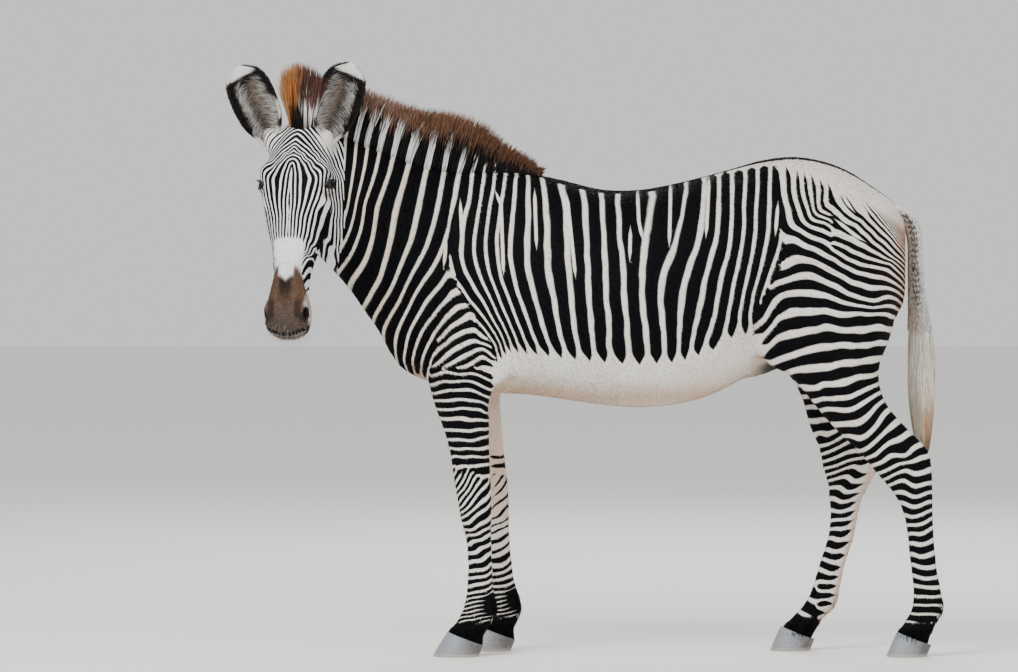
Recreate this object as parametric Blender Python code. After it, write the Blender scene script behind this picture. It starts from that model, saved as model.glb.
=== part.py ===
"""A standing adult Grevy's zebra, its head turned to its left, divided into its named regions.

Metres, +Z up. The animal faces -Y and its left side is +X. Outlines are given about the animal's own
midplane, x = 0, and the finished pieces are moved so that the origin is the bottom centre of the whole.
"""

import math

import bmesh
import bpy
import numpy as np
from mathutils import Matrix, Vector

# Driving dimensions of the model
ORIGIN = (0.0194, 0.0073, 0.0)  # where the bottom centre of the whole lies, seen from the midplane
GAP = 0.0003  # left between two pieces that meet
VOXEL = 0.009  # grain of the flesh while it is joined
BLEND_ROUNDS = 14  # how often each point of the flesh is moved towards its neighbours
FLESH_TRIANGLES = 5400
HEAD_DETAIL = 0.008  # how strongly the thinning of the faces spares the head
SWELLING = 4 * GAP  # how much larger the body is as a cutter for what stands on it
SECTION_SIDES = 40
SECTIONS_PER_SPAN = 5

# Trunk, chest to rump: y, level of the widest, top, bottom, half width, fullness above and below
TRUNK = (
    (-0.565, 0.95, 1.06, 0.875, 0.070, 2.0, 2.0),
    (-0.52, 0.96, 1.16, 0.840, 0.118, 2.0, 2.1),
    (-0.45, 0.98, 1.29, 0.812, 0.160, 1.9, 2.1),
    (-0.37, 1.00, 1.39, 0.792, 0.188, 1.8, 2.1),
    (-0.28, 1.01, 1.435, 0.782, 0.206, 1.8, 2.1),
    (-0.18, 1.02, 1.446, 0.778, 0.222, 1.8, 2.1),
    (-0.07, 1.02, 1.427, 0.765, 0.245, 1.9, 2.15),
    (0.05, 1.02, 1.397, 0.747, 0.268, 2.0, 2.2),
    (0.16, 1.02, 1.394, 0.739, 0.281, 2.05, 2.2),
    (0.26, 1.03, 1.410, 0.745, 0.284, 2.05, 2.2),
    (0.36, 1.05, 1.434, 0.768, 0.280, 2.05, 2.2),
    (0.45, 1.08, 1.459, 0.808, 0.268, 2.05, 2.1),
    (0.53, 1.12, 1.482, 0.862, 0.256, 2.05, 2.1),
    (0.62, 1.16, 1.494, 0.890, 0.250, 2.1, 2.1),
    (0.71, 1.17, 1.483, 0.885, 0.242, 2.1, 2.1),
    (0.79, 1.16, 1.454, 0.895, 0.222, 2.1, 2.0),
    (0.87, 1.15, 1.404, 0.930, 0.176, 2.0, 2.0),
    (0.93, 1.15, 1.360, 0.990, 0.118, 2.0, 2.0),
    (0.968, 1.17, 1.310, 1.060, 0.058, 2.0, 2.0),
)

# Neck: crest point, throat point, half width, how far down the widest level is, and its turn to the left
NECK = (
    ((0.0, -0.10, 1.43), (0.0, -0.36, 0.86), 0.180, 0.60, 0),
    ((0.0, -0.20, 1.452), (0.0, -0.47, 0.84), 0.178, 0.62, 0),
    ((0.0, -0.31, 1.458), (0.0, -0.565, 0.885), 0.158, 0.62, 0),
    ((0.0, -0.40, 1.462), (0.0, -0.615, 0.968), 0.136, 0.60, 0),
    ((0.0, -0.48, 1.478), (0.0, -0.660, 1.032), 0.118, 0.57, 0),
    ((0.004, -0.56, 1.508), (0.006, -0.700, 1.090), 0.104, 0.54, 6),
    ((0.013, -0.640, 1.536), (0.022, -0.742, 1.140), 0.095, 0.50, 17),
    ((0.030, -0.715, 1.560), (0.050, -0.782, 1.185), 0.090, 0.48, 34),
    ((0.060, -0.782, 1.578), (0.100, -0.815, 1.225), 0.086, 0.46, 54),
    ((0.105, -0.828, 1.587), (0.160, -0.835, 1.270), 0.080, 0.45, 72),
)

# Head: place of the poll, how the face hangs, and its sections from the poll to the lips:
# distance down the face, front, back, half width, level of the widest, fullness in front and behind
POLL = Vector((0.140, -0.848, 1.583))
FACE_TILT = math.radians(18)
FACE_YAW = math.radians(15)
FACE_ROLL = math.radians(0.5)
HEAD = (
    (-0.030, -0.020, -0.100, 0.046, -0.060, 2.0, 2.0),
    (0.000, 0.004, -0.135, 0.072, -0.065, 2.0, 2.0),
    (0.050, 0.024, -0.175, 0.088, -0.060, 2.1, 2.0),
    (0.100, 0.036, -0.205, 0.098, -0.045, 2.2, 2.0),
    (0.150, 0.041, -0.228, 0.107, -0.035, 2.3, 1.9),
    (0.200, 0.041, -0.242, 0.110, -0.040, 2.3, 1.8),
    (0.250, 0.037, -0.242, 0.100, -0.055, 2.3, 1.8),
    (0.300, 0.031, -0.224, 0.086, -0.060, 2.2, 1.8),
    (0.355, 0.024, -0.184, 0.070, -0.060, 2.2, 1.9),
    (0.410, 0.018, -0.146, 0.060, -0.055, 2.3, 2.0),
    (0.465, 0.013, -0.122, 0.056, -0.050, 2.4, 2.1),
    (0.520, 0.009, -0.114, 0.062, -0.045, 2.5, 2.2),
    (0.562, 0.002, -0.116, 0.070, -0.045, 2.5, 2.3),
    (0.598, -0.010, -0.112, 0.070, -0.050, 2.4, 2.3),
    (0.626, -0.030, -0.100, 0.055, -0.062, 2.3, 2.2),
    (0.642, -0.054, -0.082, 0.025, -0.068, 2.0, 2.0),
)
EYE_DOWN_FACE = 0.178
EYE_OUT = 0.093
EYE_BEHIND_FACE = -0.026
EYE_RADIUS = 0.0235

# Eggs of bone and muscle on each side of the head: start and end as left, down and out, then how thick
# along the way to the left and how broad
HEAD_MUSCLES = (
    ((0.082, 0.105, -0.002), (0.086, 0.190, 0.004), 0.026, 0.030),  # brow over the eye
    ((0.062, 0.105, -0.150), (0.060, 0.300, -0.130), 0.036, 0.084),  # cheek
    ((0.046, 0.530, -0.020), (0.048, 0.592, -0.042), 0.024, 0.032),  # flare of the nostril
)

# Legs, top to bottom: z, front edge, back edge, half width, distance from the midplane
FORE_LEG = (
    (1.10, -0.410, -0.290, 0.024, 0.130),
    (1.02, -0.470, -0.250, 0.052, 0.138),
    (0.90, -0.490, -0.235, 0.070, 0.142),
    (0.82, -0.465, -0.258, 0.068, 0.138),
    (0.762, -0.450, -0.279, 0.062, 0.136),
    (0.702, -0.428, -0.279, 0.055, 0.134),
    (0.642, -0.408, -0.279, 0.050, 0.132),
    (0.582, -0.396, -0.277, 0.046, 0.130),
    (0.522, -0.388, -0.274, 0.044, 0.128),
    (0.462, -0.377, -0.272, 0.046, 0.127),
    (0.417, -0.370, -0.272, 0.045, 0.126),
    (0.372, -0.358, -0.273, 0.039, 0.125),
    (0.332, -0.350, -0.271, 0.031, 0.124),
    (0.272, -0.347, -0.269, 0.028, 0.123),
    (0.212, -0.349, -0.267, 0.029, 0.122),
    (0.165, -0.356, -0.257, 0.035, 0.121),
    (0.132, -0.366, -0.256, 0.038, 0.120),
    (0.100, -0.384, -0.272, 0.036, 0.120),
    (0.072, -0.404, -0.296, 0.038, 0.120),
    (0.045, -0.418, -0.300, 0.043, 0.120),
    (0.020, -0.425, -0.305, 0.045, 0.120),
)
HIND_LEG = (
    (1.33, 0.680, 0.860, 0.030, 0.100),
    (1.25, 0.560, 0.955, 0.082, 0.122),
    (1.137, 0.515, 0.962, 0.108, 0.130),
    (1.062, 0.505, 0.944, 0.112, 0.134),
    (0.985, 0.508, 0.919, 0.106, 0.140),
    (0.918, 0.530, 0.896, 0.097, 0.146),
    (0.852, 0.600, 0.884, 0.085, 0.150),
    (0.798, 0.650, 0.889, 0.074, 0.152),
    (0.747, 0.690, 0.912, 0.065, 0.153),
    (0.702, 0.729, 0.950, 0.059, 0.153),
    (0.657, 0.772, 0.994, 0.053, 0.152),
    (0.612, 0.820, 1.033, 0.048, 0.150),
    (0.552, 0.869, 1.042, 0.046, 0.146),
    (0.492, 0.921, 1.044, 0.045, 0.142),
    (0.432, 0.952, 1.045, 0.039, 0.139),
    (0.372, 0.964, 1.048, 0.034, 0.136),
    (0.312, 0.970, 1.053, 0.031, 0.134),
    (0.252, 0.977, 1.060, 0.031, 0.132),
    (0.192, 0.984, 1.072, 0.034, 0.130),
    (0.140, 0.978, 1.078, 0.039, 0.129),
    (0.105, 0.958, 1.060, 0.036, 0.128),
    (0.072, 0.938, 1.040, 0.037, 0.128),
    (0.045, 0.925, 1.030, 0.042, 0.128),
    (0.020, 0.920, 1.020, 0.044, 0.128),
)
# How far each right leg stands behind its left one, by height
RIGHT_FORE_STEP = (
    (0.0, 0.100),
    (0.06, 0.092),
    (0.15, 0.070),
    (0.30, 0.055),
    (0.50, 0.050),
    (0.80, 0.030),
    (1.0, 0.0),
)
RIGHT_HIND_STEP = (
    (0.0, -0.345),
    (0.10, -0.325),
    (0.22, -0.280),
    (0.34, -0.228),
    (0.46, -0.198),
    (0.55, -0.146),
    (0.65, -0.084),
    (0.75, -0.022),
    (0.82, 0.0),
    (1.4, 0.0),
)

# Eggs of muscle where the left limbs join the body: start, end, how thick outwards and how broad
LIMB_MUSCLES = (
    ((0.165, -0.490, 0.930), (0.060, -0.190, 1.440), 0.046, 0.105),  # shoulder blade
    ((0.172, -0.290, 0.800), (0.120, -0.170, 1.250), 0.048, 0.090),  # triceps
    ((0.105, -0.520, 0.860), (0.085, -0.500, 1.110), 0.060, 0.065),  # breast
    ((0.130, 0.430, 1.400), (0.170, 0.830, 1.080), 0.082, 0.120),  # from hip bone to hip
    ((0.060, 0.880, 1.360), (0.148, 0.850, 0.860), 0.070, 0.080),  # hamstrings
    ((0.160, 0.530, 1.330), (0.165, 0.600, 0.850), 0.072, 0.100),  # front of the thigh
)

# Places where the flesh is blended most: centre, reach
BLENDS = (
    ((0, -0.30, 1.15), (0.40, 0.50, 0.55)),  # shoulders
    ((0, 0.70, 1.10), (0.40, 0.55, 0.50)),  # haunches
    ((0, 0.30, 0.95), (0.40, 0.60, 0.45)),  # belly
    ((0.08, -0.76, 1.38), (0.22, 0.20, 0.25)),  # behind the jaw
)

# Hooves: toe and heel of the sole, front and back of the coronet, and the hoof's height at each
HOOF_FRONT_HEIGHT = 0.074
HOOF_HEEL_HEIGHT = 0.034
HOOF_SIDES = 20
HOOF_RINGS = (0.0, 0.10, 0.55, 1.0)  # heights of the rings, as shares of the coronet's
HOOF_TAPER = 0.20  # how much narrower the coronet is than the sole
HOOF_ROUNDNESS = 0.85  # below 1 for sides fuller than an ellipse
FORE_HOOF = {
    "toe": -0.450,
    "heel": -0.312,
    "front": -0.404,
    "back": -0.298,
    "half_width": 0.054,
    "out": 0.120,
}
HIND_HOOF = {
    "toe": 0.905,
    "heel": 1.026,
    "front": 0.938,
    "back": 1.040,
    "half_width": 0.050,
    "out": 0.128,
}

# Tail: height, y and half widths fore-and-aft and sideways
TAIL = (
    (1.345, 0.925, 0.022, 0.026),
    (1.320, 0.962, 0.024, 0.026),
    (1.285, 0.986, 0.024, 0.024),
    (1.235, 0.996, 0.022, 0.021),
    (1.160, 0.998, 0.023, 0.021),
    (1.080, 1.002, 0.026, 0.023),
    (1.020, 1.007, 0.031, 0.027),
    (0.960, 1.012, 0.038, 0.032),
    (0.880, 1.016, 0.042, 0.035),
    (0.800, 1.016, 0.041, 0.034),
    (0.720, 1.017, 0.036, 0.030),
    (0.660, 1.019, 0.028, 0.023),
    (0.610, 1.024, 0.016, 0.013),
    (0.585, 1.027, 0.005, 0.004),
)

# Mane: place along the crest as y, height above it and half thickness; it turns with the neck
MANE = (
    (-0.144, 0.012, 0.010),
    (-0.190, 0.040, 0.014),
    (-0.249, 0.069, 0.017),
    (-0.309, 0.108, 0.020),
    (-0.369, 0.140, 0.022),
    (-0.429, 0.156, 0.022),
    (-0.490, 0.146, 0.022),
    (-0.550, 0.132, 0.022),
    (-0.633, 0.129, 0.021),
    (-0.710, 0.125, 0.019),
    (-0.775, 0.118, 0.016),
    (-0.808, 0.108, 0.012),
)
MANE_ROOT = 0.030  # how deep the mane's solid starts inside the crest before it is cut away

# Forelock: height, half width across the head and half depth; it stands between the ears
FORELOCK_FOOT = (0.152, -0.850)
FORELOCK = (
    (1.560, 0.026, 0.020),
    (1.605, 0.032, 0.026),
    (1.650, 0.044, 0.032),
    (1.700, 0.054, 0.034),
    (1.740, 0.054, 0.031),
    (1.766, 0.040, 0.022),
    (1.778, 0.014, 0.008),
)

# Ears: place along the ear from root to tip, half width, depth of the cup, and how far the cup turns round
EAR_LENGTH = 0.266
EAR_WALL = 0.007
EAR = (
    (0.000, 0.026, 0.028, 1.50),
    (0.115, 0.034, 0.036, 1.50),
    (0.203, 0.048, 0.042, 1.35),
    (0.314, 0.061, 0.045, 1.20),
    (0.424, 0.066, 0.044, 1.10),
    (0.535, 0.069, 0.041, 1.05),
    (0.646, 0.069, 0.036, 1.00),
    (0.756, 0.066, 0.030, 1.00),
    (0.867, 0.054, 0.021, 1.00),
    (0.934, 0.036, 0.013, 1.00),
    (1.000, 0.010, 0.006, 1.00),
)
EAR_ARC_POINTS = 8
EAR_BASE = (0.045, 0.090, -0.055)  # foot of the bulge of muscle that carries each ear, in the head
EAR_BASE_REACH = 0.22  # how far up the ear that bulge ends
EAR_BASE_THICK = 0.037
LEFT_EAR = {"root": (0.120, -0.776, 1.520), "tip": (0.134, -0.690, 1.782), "facing": (0.98, 0.16, -0.05)}
RIGHT_EAR = {"root": (0.096, -0.922, 1.520), "tip": (0.108, -1.037, 1.782), "facing": (0.98, -0.18, -0.05)}


def smooth_rows(rows, per_span=SECTIONS_PER_SPAN):
    """Rows between the given ones, on a Catmull-Rom curve through them."""
    rows = np.array(rows, dtype=float)
    padded = np.vstack([2 * rows[0] - rows[1], rows, 2 * rows[-1] - rows[-2]])
    made = []
    for i in range(1, len(padded) - 2):
        before, start, end, after = padded[i - 1 : i + 3]
        for t in np.linspace(0, 1, per_span, endpoint=False):
            made.append(
                0.5
                * (
                    2 * start
                    + (end - before) * t
                    + (2 * before - 5 * start + 4 * end - after) * t**2
                    + (3 * start - before - 3 * end + after) * t**3
                )
            )
    made.append(rows[-1])
    return np.array(made)


def section(centre, across, upward, half_width, rise, drop, full_up=2.0, full_down=2.0):
    """Points round a section whose widest level is at its centre."""
    turn = np.linspace(0, 2 * math.pi, SECTION_SIDES, endpoint=False)
    side, level = np.cos(turn), np.sin(turn)
    power = 2 / np.where(level >= 0, full_up, full_down)
    out = half_width * np.sign(side) * np.abs(side) ** power
    height = np.where(level >= 0, rise, drop) * np.sign(level) * np.abs(level) ** power
    centre, across, upward = Vector(centre), Vector(across), Vector(upward)
    return [centre + across * u + upward * w for u, w in zip(out, height)]


def add_loft(bm, sections):
    """A closed tube through the sections, each a ring of points."""
    rings = [[bm.verts.new(place) for place in points] for points in sections]
    for lower, upper in zip(rings, rings[1:]):
        for i in range(len(lower)):
            bm.faces.new((lower[i - 1], lower[i], upper[i], upper[i - 1]))
    bm.faces.new(rings[0])
    bm.faces.new(reversed(rings[-1]))


def add_muscle(bm, start, end, thick, broad, outward=(1, 0, 0)):
    """An egg of muscle or bone from start to end, so thick along outward and so broad across both."""
    start, end = Vector(start), Vector(end)
    along = (end - start).normalized()
    outward = (Vector(outward) - along * along.dot(outward)).normalized()
    sideways = along.cross(outward)
    half_length = (end - start).length / 2
    frame = Matrix((outward * thick, sideways * broad, along * half_length)).transposed().to_4x4()
    place = Matrix.Translation((start + end) / 2) @ frame
    bmesh.ops.create_icosphere(bm, subdivisions=4, radius=1, matrix=place)


def head_axes():
    """Unit vectors of the head: to its left, down the face, and straight out of the forehead."""
    left = Vector((math.sin(FACE_YAW), math.cos(FACE_YAW), 0))
    ahead = Vector((math.cos(FACE_YAW), -math.sin(FACE_YAW), 0))
    down = ahead * math.sin(FACE_TILT) - Vector((0, 0, math.cos(FACE_TILT)))
    roll = Matrix.Rotation(FACE_ROLL, 3, ahead)
    left, down = roll @ left, roll @ down
    return left, down, down.cross(left).normalized()


HEAD_LEFT, HEAD_DOWN, HEAD_OUT = head_axes()


def in_head(left, down, out):
    """A point given in the head's own directions."""
    return POLL + HEAD_LEFT * left + HEAD_DOWN * down + HEAD_OUT * out


def add_trunk(bm):
    rings = []
    for y, widest, top, bottom, half_width, *fullness in smooth_rows(TRUNK):
        rise, drop = top - widest, widest - bottom
        rings.append(section((0, y, widest), (1, 0, 0), (0, 0, 1), half_width, rise, drop, *fullness))
    add_loft(bm, rings)


def neck_rows():
    return smooth_rows([(*crest, *throat, *rest) for crest, throat, *rest in NECK])


def add_neck(bm):
    rings = []
    for row in neck_rows():
        crest, throat = Vector(row[0:3]), Vector(row[3:6])
        half_width, widest, turn = row[6:9]
        upward = (crest - throat).normalized()
        across = Vector((math.cos(math.radians(turn)), math.sin(math.radians(turn)), 0))
        depth = (crest - throat).length
        centre = crest - upward * depth * widest
        rise, drop = depth * widest, depth * (1 - widest)
        rings.append(section(centre, across, upward, half_width, rise, drop, 1.75, 2.0))
    add_loft(bm, rings)


def add_head(bm):
    rings = []
    for down, front, back, half_width, widest, *fullness in smooth_rows(HEAD):
        rise, drop = front - widest, widest - back
        centre = in_head(0, down, widest)
        rings.append(section(centre, HEAD_LEFT, HEAD_OUT, half_width, rise, drop, *fullness))
    add_loft(bm, rings)
    for side in (-1, 1):
        for start, end, thick, broad in HEAD_MUSCLES:
            start = in_head(side * start[0], *start[1:])
            end = in_head(side * end[0], *end[1:])
            add_muscle(bm, start, end, thick, broad, HEAD_LEFT)
    for side, ear in ((1, LEFT_EAR), (-1, RIGHT_EAR)):
        start = in_head(side * EAR_BASE[0], *EAR_BASE[1:])
        end = Vector(ear["root"]).lerp(ear["tip"], EAR_BASE_REACH)
        add_muscle(bm, start, end, EAR_BASE_THICK, EAR_BASE_THICK)


def add_leg(bm, table, side, step):
    """One leg from inside the body down to the hoof, as level sections."""
    heights, shifts = np.array(step).T
    rings = []
    for z, front, back, half_width, out in smooth_rows(table, 4):
        shift = np.interp(z, heights, shifts) if side < 0 else 0
        centre = (side * out, (front + back) / 2 + shift, z)
        half_depth = (back - front) / 2
        rings.append(section(centre, (1, 0, 0), (0, -1, 0), half_width, half_depth, half_depth, 2.1, 2.1))
    add_loft(bm, rings)


def add_shoulder_and_haunch(bm):
    for side in (-1, 1):
        for start, end, thick, broad in LIMB_MUSCLES:
            start = (side * start[0], *start[1:])
            end = (side * end[0], *end[1:])
            add_muscle(bm, start, end, thick, broad)


def add_belly_fold(bm):
    """The sheath under the flank."""
    add_muscle(bm, (0, 0.385, 0.860), (0, 0.625, 0.905), 0.048, 0.056)


def add_tail(bm):
    rings = []
    for z, y, half_depth, half_width in smooth_rows(TAIL, 2):
        rings.append(section((0, y, z), (1, 0, 0), (0, 1, 0), half_width, half_depth, half_depth)[::4])
    add_loft(bm, rings)


def add_mane(bm):
    crest = neck_rows()
    order = np.argsort(crest[:, 1])
    rings = []
    for y, height, half_thick in smooth_rows(MANE, 1):
        x, z, turn = (np.interp(y, crest[order, 1], crest[order, k]) for k in (0, 2, 8))
        across = (math.cos(math.radians(turn)), math.sin(math.radians(turn)), 0)
        half_height = (height + MANE_ROOT) / 2
        centre = (x, y, z + height - half_height)
        rings.append(section(centre, across, (0, 0, 1), half_thick, half_height, half_height, 3.0, 2.5))
    add_loft(bm, [ring[::4] for ring in rings])


def add_forelock(bm):
    x, y = FORELOCK_FOOT
    left = Vector((math.sin(FACE_YAW), math.cos(FACE_YAW), 0))
    level_axes = (left, left.cross((0, 0, 1)))
    rings = []
    for z, half_width, half_depth in smooth_rows(FORELOCK, 1):
        rings.append(section((x, y, z), *level_axes, half_width, half_depth, half_depth)[::4])
    add_loft(bm, rings)


def add_ear(bm, root, tip, facing):
    """A cupped ear, open towards where it faces, as thick as its wall."""
    root, tip, facing = Vector(root), Vector(tip), Vector(facing)
    upward = (tip - root).normalized()
    facing = (facing - upward * upward.dot(facing)).normalized()
    across = upward.cross(facing)
    rings = []
    for place, half_width, depth, wrap in smooth_rows(EAR, 1):
        centre = root + upward * EAR_LENGTH * place
        arc = np.linspace(-math.pi / 2 * wrap, math.pi / 2 * wrap, EAR_ARC_POINTS)
        ring = []
        for wall, turns in ((0.0, arc), (EAR_WALL, arc[::-1])):
            inside = max(0.25, 1 - wall / half_width)
            inner_depth = max(0.25, 1 - wall / depth)
            for turn in turns:
                ring.append(
                    centre
                    + across * math.sin(turn) * half_width * inside
                    - facing * math.cos(turn) * depth * inner_depth
                )
        rings.append(ring)
    add_loft(bm, rings)


def hoof_bounds(hoof, side, step):
    heights, shifts = np.array(step).T
    shift = np.interp(HOOF_HEEL_HEIGHT, heights, shifts) if side < 0 else 0
    return {k: v + shift if k in ("toe", "heel", "front", "back") else v for k, v in hoof.items()}


def coronet_level(hoof, y):
    fall = (HOOF_FRONT_HEIGHT - HOOF_HEEL_HEIGHT) / (hoof["back"] - hoof["front"])
    return HOOF_FRONT_HEIGHT - (y - hoof["front"]) * fall


def coronet_normal(hoof):
    fall = (HOOF_FRONT_HEIGHT - HOOF_HEEL_HEIGHT) / (hoof["back"] - hoof["front"])
    return Vector((0, fall, 1)).normalized()


def add_hoof(bm, hoof, side):
    """A hoof from its flat sole up to the sloping coronet."""
    rings = []
    for rise in HOOF_RINGS:
        front = hoof["toe"] + (hoof["front"] - hoof["toe"]) * rise
        back = hoof["heel"] + (hoof["back"] - hoof["heel"]) * rise
        half_width = hoof["half_width"] * (1 - HOOF_TAPER * rise)
        middle, half_length = (front + back) / 2, (back - front) / 2
        ring = []
        for turn in np.linspace(0, 2 * math.pi, HOOF_SIDES, endpoint=False):
            y = middle - half_length * math.sin(turn)
            out = math.copysign(abs(math.cos(turn)) ** HOOF_ROUNDNESS, math.cos(turn))
            x = side * hoof["out"] + half_width * out
            ring.append(Vector((x, y, rise * coronet_level(hoof, y))))
        rings.append(ring)
    for point in rings[-1]:
        point -= coronet_normal(hoof) * GAP
    add_loft(bm, rings)


def mesh_object(name, bm):
    mesh = bpy.data.meshes.new(name)
    bm.to_mesh(mesh)
    bm.free()
    made = bpy.data.objects.new(name, mesh)
    bpy.context.scene.collection.objects.link(made)
    return made


def apply_modifiers(obj):
    """Replaces the object's mesh by what its modifiers make of it."""
    graph = bpy.context.evaluated_depsgraph_get()
    shaped = bpy.data.meshes.new_from_object(obj.evaluated_get(graph))
    obj.modifiers.clear()
    obj.data = shaped


def relax(mesh, strength, rounds):
    """Moves each point towards the middle of its neighbours, by its own strength."""
    places = np.empty(len(mesh.vertices) * 3)
    mesh.vertices.foreach_get("co", places)
    places = places.reshape(-1, 3)
    ends = np.empty(len(mesh.edges) * 2, dtype=np.int64)
    mesh.edges.foreach_get("vertices", ends)
    ends = ends.reshape(-1, 2)
    count = np.bincount(ends.ravel(), minlength=len(places))[:, None]
    for _ in range(rounds):
        total = np.zeros_like(places)
        for axis in range(3):
            total[:, axis] = np.bincount(ends[:, 0], places[ends[:, 1], axis], len(places))
            total[:, axis] += np.bincount(ends[:, 1], places[ends[:, 0], axis], len(places))
        places += strength[:, None] * (total / count - places)
    mesh.vertices.foreach_set("co", places.ravel())
    mesh.update()


def near(places, centre, reach):
    """1 at the centre, falling smoothly to 0 at the reach."""
    away = np.linalg.norm((places - np.array(centre)) / np.array(reach), axis=1)
    fall = np.clip(1 - away, 0, 1)
    return fall * fall * (3 - 2 * fall)


def make_flesh():
    """The whole body as one closed skin, its joints with the limbs blended."""
    bm = bmesh.new()
    add_trunk(bm)
    add_neck(bm)
    add_head(bm)
    add_shoulder_and_haunch(bm)
    add_belly_fold(bm)
    for side in (-1, 1):
        add_leg(bm, FORE_LEG, side, RIGHT_FORE_STEP)
        add_leg(bm, HIND_LEG, side, RIGHT_HIND_STEP)
    bmesh.ops.recalc_face_normals(bm, faces=bm.faces)
    flesh = mesh_object("flesh", bm)
    remesh = flesh.modifiers.new("join", "REMESH")
    remesh.mode = "VOXEL"
    remesh.voxel_size = VOXEL
    apply_modifiers(flesh)

    places = np.empty(len(flesh.data.vertices) * 3)
    flesh.data.vertices.foreach_get("co", places)
    places = places.reshape(-1, 3)
    blend = np.full(len(places), 0.06)
    for centre, reach in BLENDS:
        blend = np.maximum(blend, 0.6 * near(places, centre, reach) ** 0.5)
    relax(flesh.data, blend, BLEND_ROUNDS)
    return flesh


def part_off(bm, point, normal, middle, reach):
    """Parts the flesh on a plane, only within reach of the middle, and closes both faces."""
    point, normal, middle = Vector(point), Vector(normal).normalized(), Vector(middle)
    faces = [f for f in bm.faces if (f.calc_center_median() - middle).length < reach]
    edges = {e for f in faces for e in f.edges}
    verts = {v for f in faces for v in f.verts}
    nearby = [*verts, *edges, *faces]
    cut = bmesh.ops.bisect_plane(bm, geom=nearby, dist=1e-5, plane_co=point, plane_no=normal)
    loop = [e for e in cut["geom_cut"] if isinstance(e, bmesh.types.BMEdge)]
    bmesh.ops.split_edges(bm, edges=loop)
    rim = [e for e in bm.edges if e.is_boundary]
    for vert in {v for e in rim for v in e.verts}:
        above = any((f.calc_center_median() - point).dot(normal) > 0 for f in vert.link_faces)
        vert.co += normal * (GAP if above else -GAP)
    bmesh.ops.holes_fill(bm, edges=rim, sides=0)
    bmesh.ops.triangulate(bm, faces=[f for f in bm.faces if len(f.verts) > 3])


def islands(bm):
    """The faces of each separate body in the mesh."""
    waiting = set(bm.faces)
    while waiting:
        stack = [waiting.pop()]
        found = set(stack)
        while stack:
            for edge in stack.pop().edges:
                for face in edge.link_faces:
                    if face in waiting:
                        waiting.discard(face)
                        found.add(face)
                        stack.append(face)
        yield found


def only(bm, faces):
    """A new mesh of these faces alone."""
    made = bmesh.new()
    copies = {}
    for face in sorted(faces, key=lambda f: f.index):
        for vert in face.verts:
            if vert not in copies:
                copies[vert] = made.verts.new(vert.co)
        made.faces.new([copies[vert] for vert in face.verts])
    return made


def paint(obj, colour, roughness):
    material = bpy.data.materials.new(obj.name)
    material.use_nodes = True
    shader = material.node_tree.nodes["Principled BSDF"]
    shader.inputs["Base Color"].default_value = (*colour, 1)
    shader.inputs["Roughness"].default_value = roughness
    obj.data.materials.clear()
    obj.data.materials.append(material)
    obj.data.shade_smooth()


def carve(obj, cutter):
    cut = obj.modifiers.new("fit to the body", "BOOLEAN")
    cut.operation = "DIFFERENCE"
    cut.object = cutter


def hide(cutter):
    cutter.hide_render = True
    cutter.display_type = "WIRE"


def new_solid(name, add, *values):
    bm = bmesh.new()
    add(bm, *values)
    bmesh.ops.recalc_face_normals(bm, faces=bm.faces)
    bmesh.ops.triangulate(bm, faces=bm.faces)
    return mesh_object(name, bm)


for old in list(bpy.data.objects):
    bpy.data.objects.remove(old, do_unlink=True)

STRIPED = (0.30, 0.29, 0.28)
flesh = make_flesh()
coarse = flesh.vertex_groups.new(name="coarse")
for vert in flesh.data.vertices:
    on_head = near(np.array([vert.co]), (0.15, -0.85, 1.30), (0.30, 0.30, 0.55))[0]
    coarse.add([vert.index], 1 - on_head**0.3, "REPLACE")
thin = flesh.modifiers.new("fewer faces", "DECIMATE")
thin.ratio = FLESH_TRIANGLES / (2 * len(flesh.data.polygons))
thin.vertex_group = coarse.name
thin.vertex_group_factor = HEAD_DETAIL
apply_modifiers(flesh)

# The body a little swollen, which ears, mane, forelock and tail are cut by
swollen = mesh_object("body_clearance", bmesh.new())
swollen.data = flesh.data.copy()
for vert in swollen.data.vertices:
    vert.co += vert.normal * SWELLING
hide(swollen)

# Where the flesh is parted: a point on each plane, its normal, and where that plane works
bm = bmesh.new()
bm.from_mesh(flesh.data)
part_off(bm, (0.055, -0.72, 1.40), (0.35, -0.93, 0.0), (0.055, -0.72, 1.37), 0.45)
part_off(bm, (0.0, -0.36, 1.19), (0.0, -0.80, 0.60), (0.0, -0.36, 1.19), 0.60)
HOOVES = {}
for side, hand in ((1, "left"), (-1, "right")):
    part_off(bm, (side * 0.06, -0.36, 0.765), (-side * 0.49, 0.0, 0.87), (side * 0.135, -0.36, 0.80), 0.20)
    part_off(bm, (side * 0.05, 0.74, 0.80), (-side * 0.606, 0.0, 0.795), (side * 0.15, 0.74, 0.88), 0.30)
    for limb, hoof, step in (("fore", FORE_HOOF, RIGHT_FORE_STEP), ("hind", HIND_HOOF, RIGHT_HIND_STEP)):
        placed = hoof_bounds(hoof, side, step)
        HOOVES[f"hoof_{limb}_{hand}"] = (placed, side)
        ankle = (side * placed["out"], placed["front"], HOOF_FRONT_HEIGHT)
        part_off(bm, ankle, coronet_normal(placed), ankle, 0.16)

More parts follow.
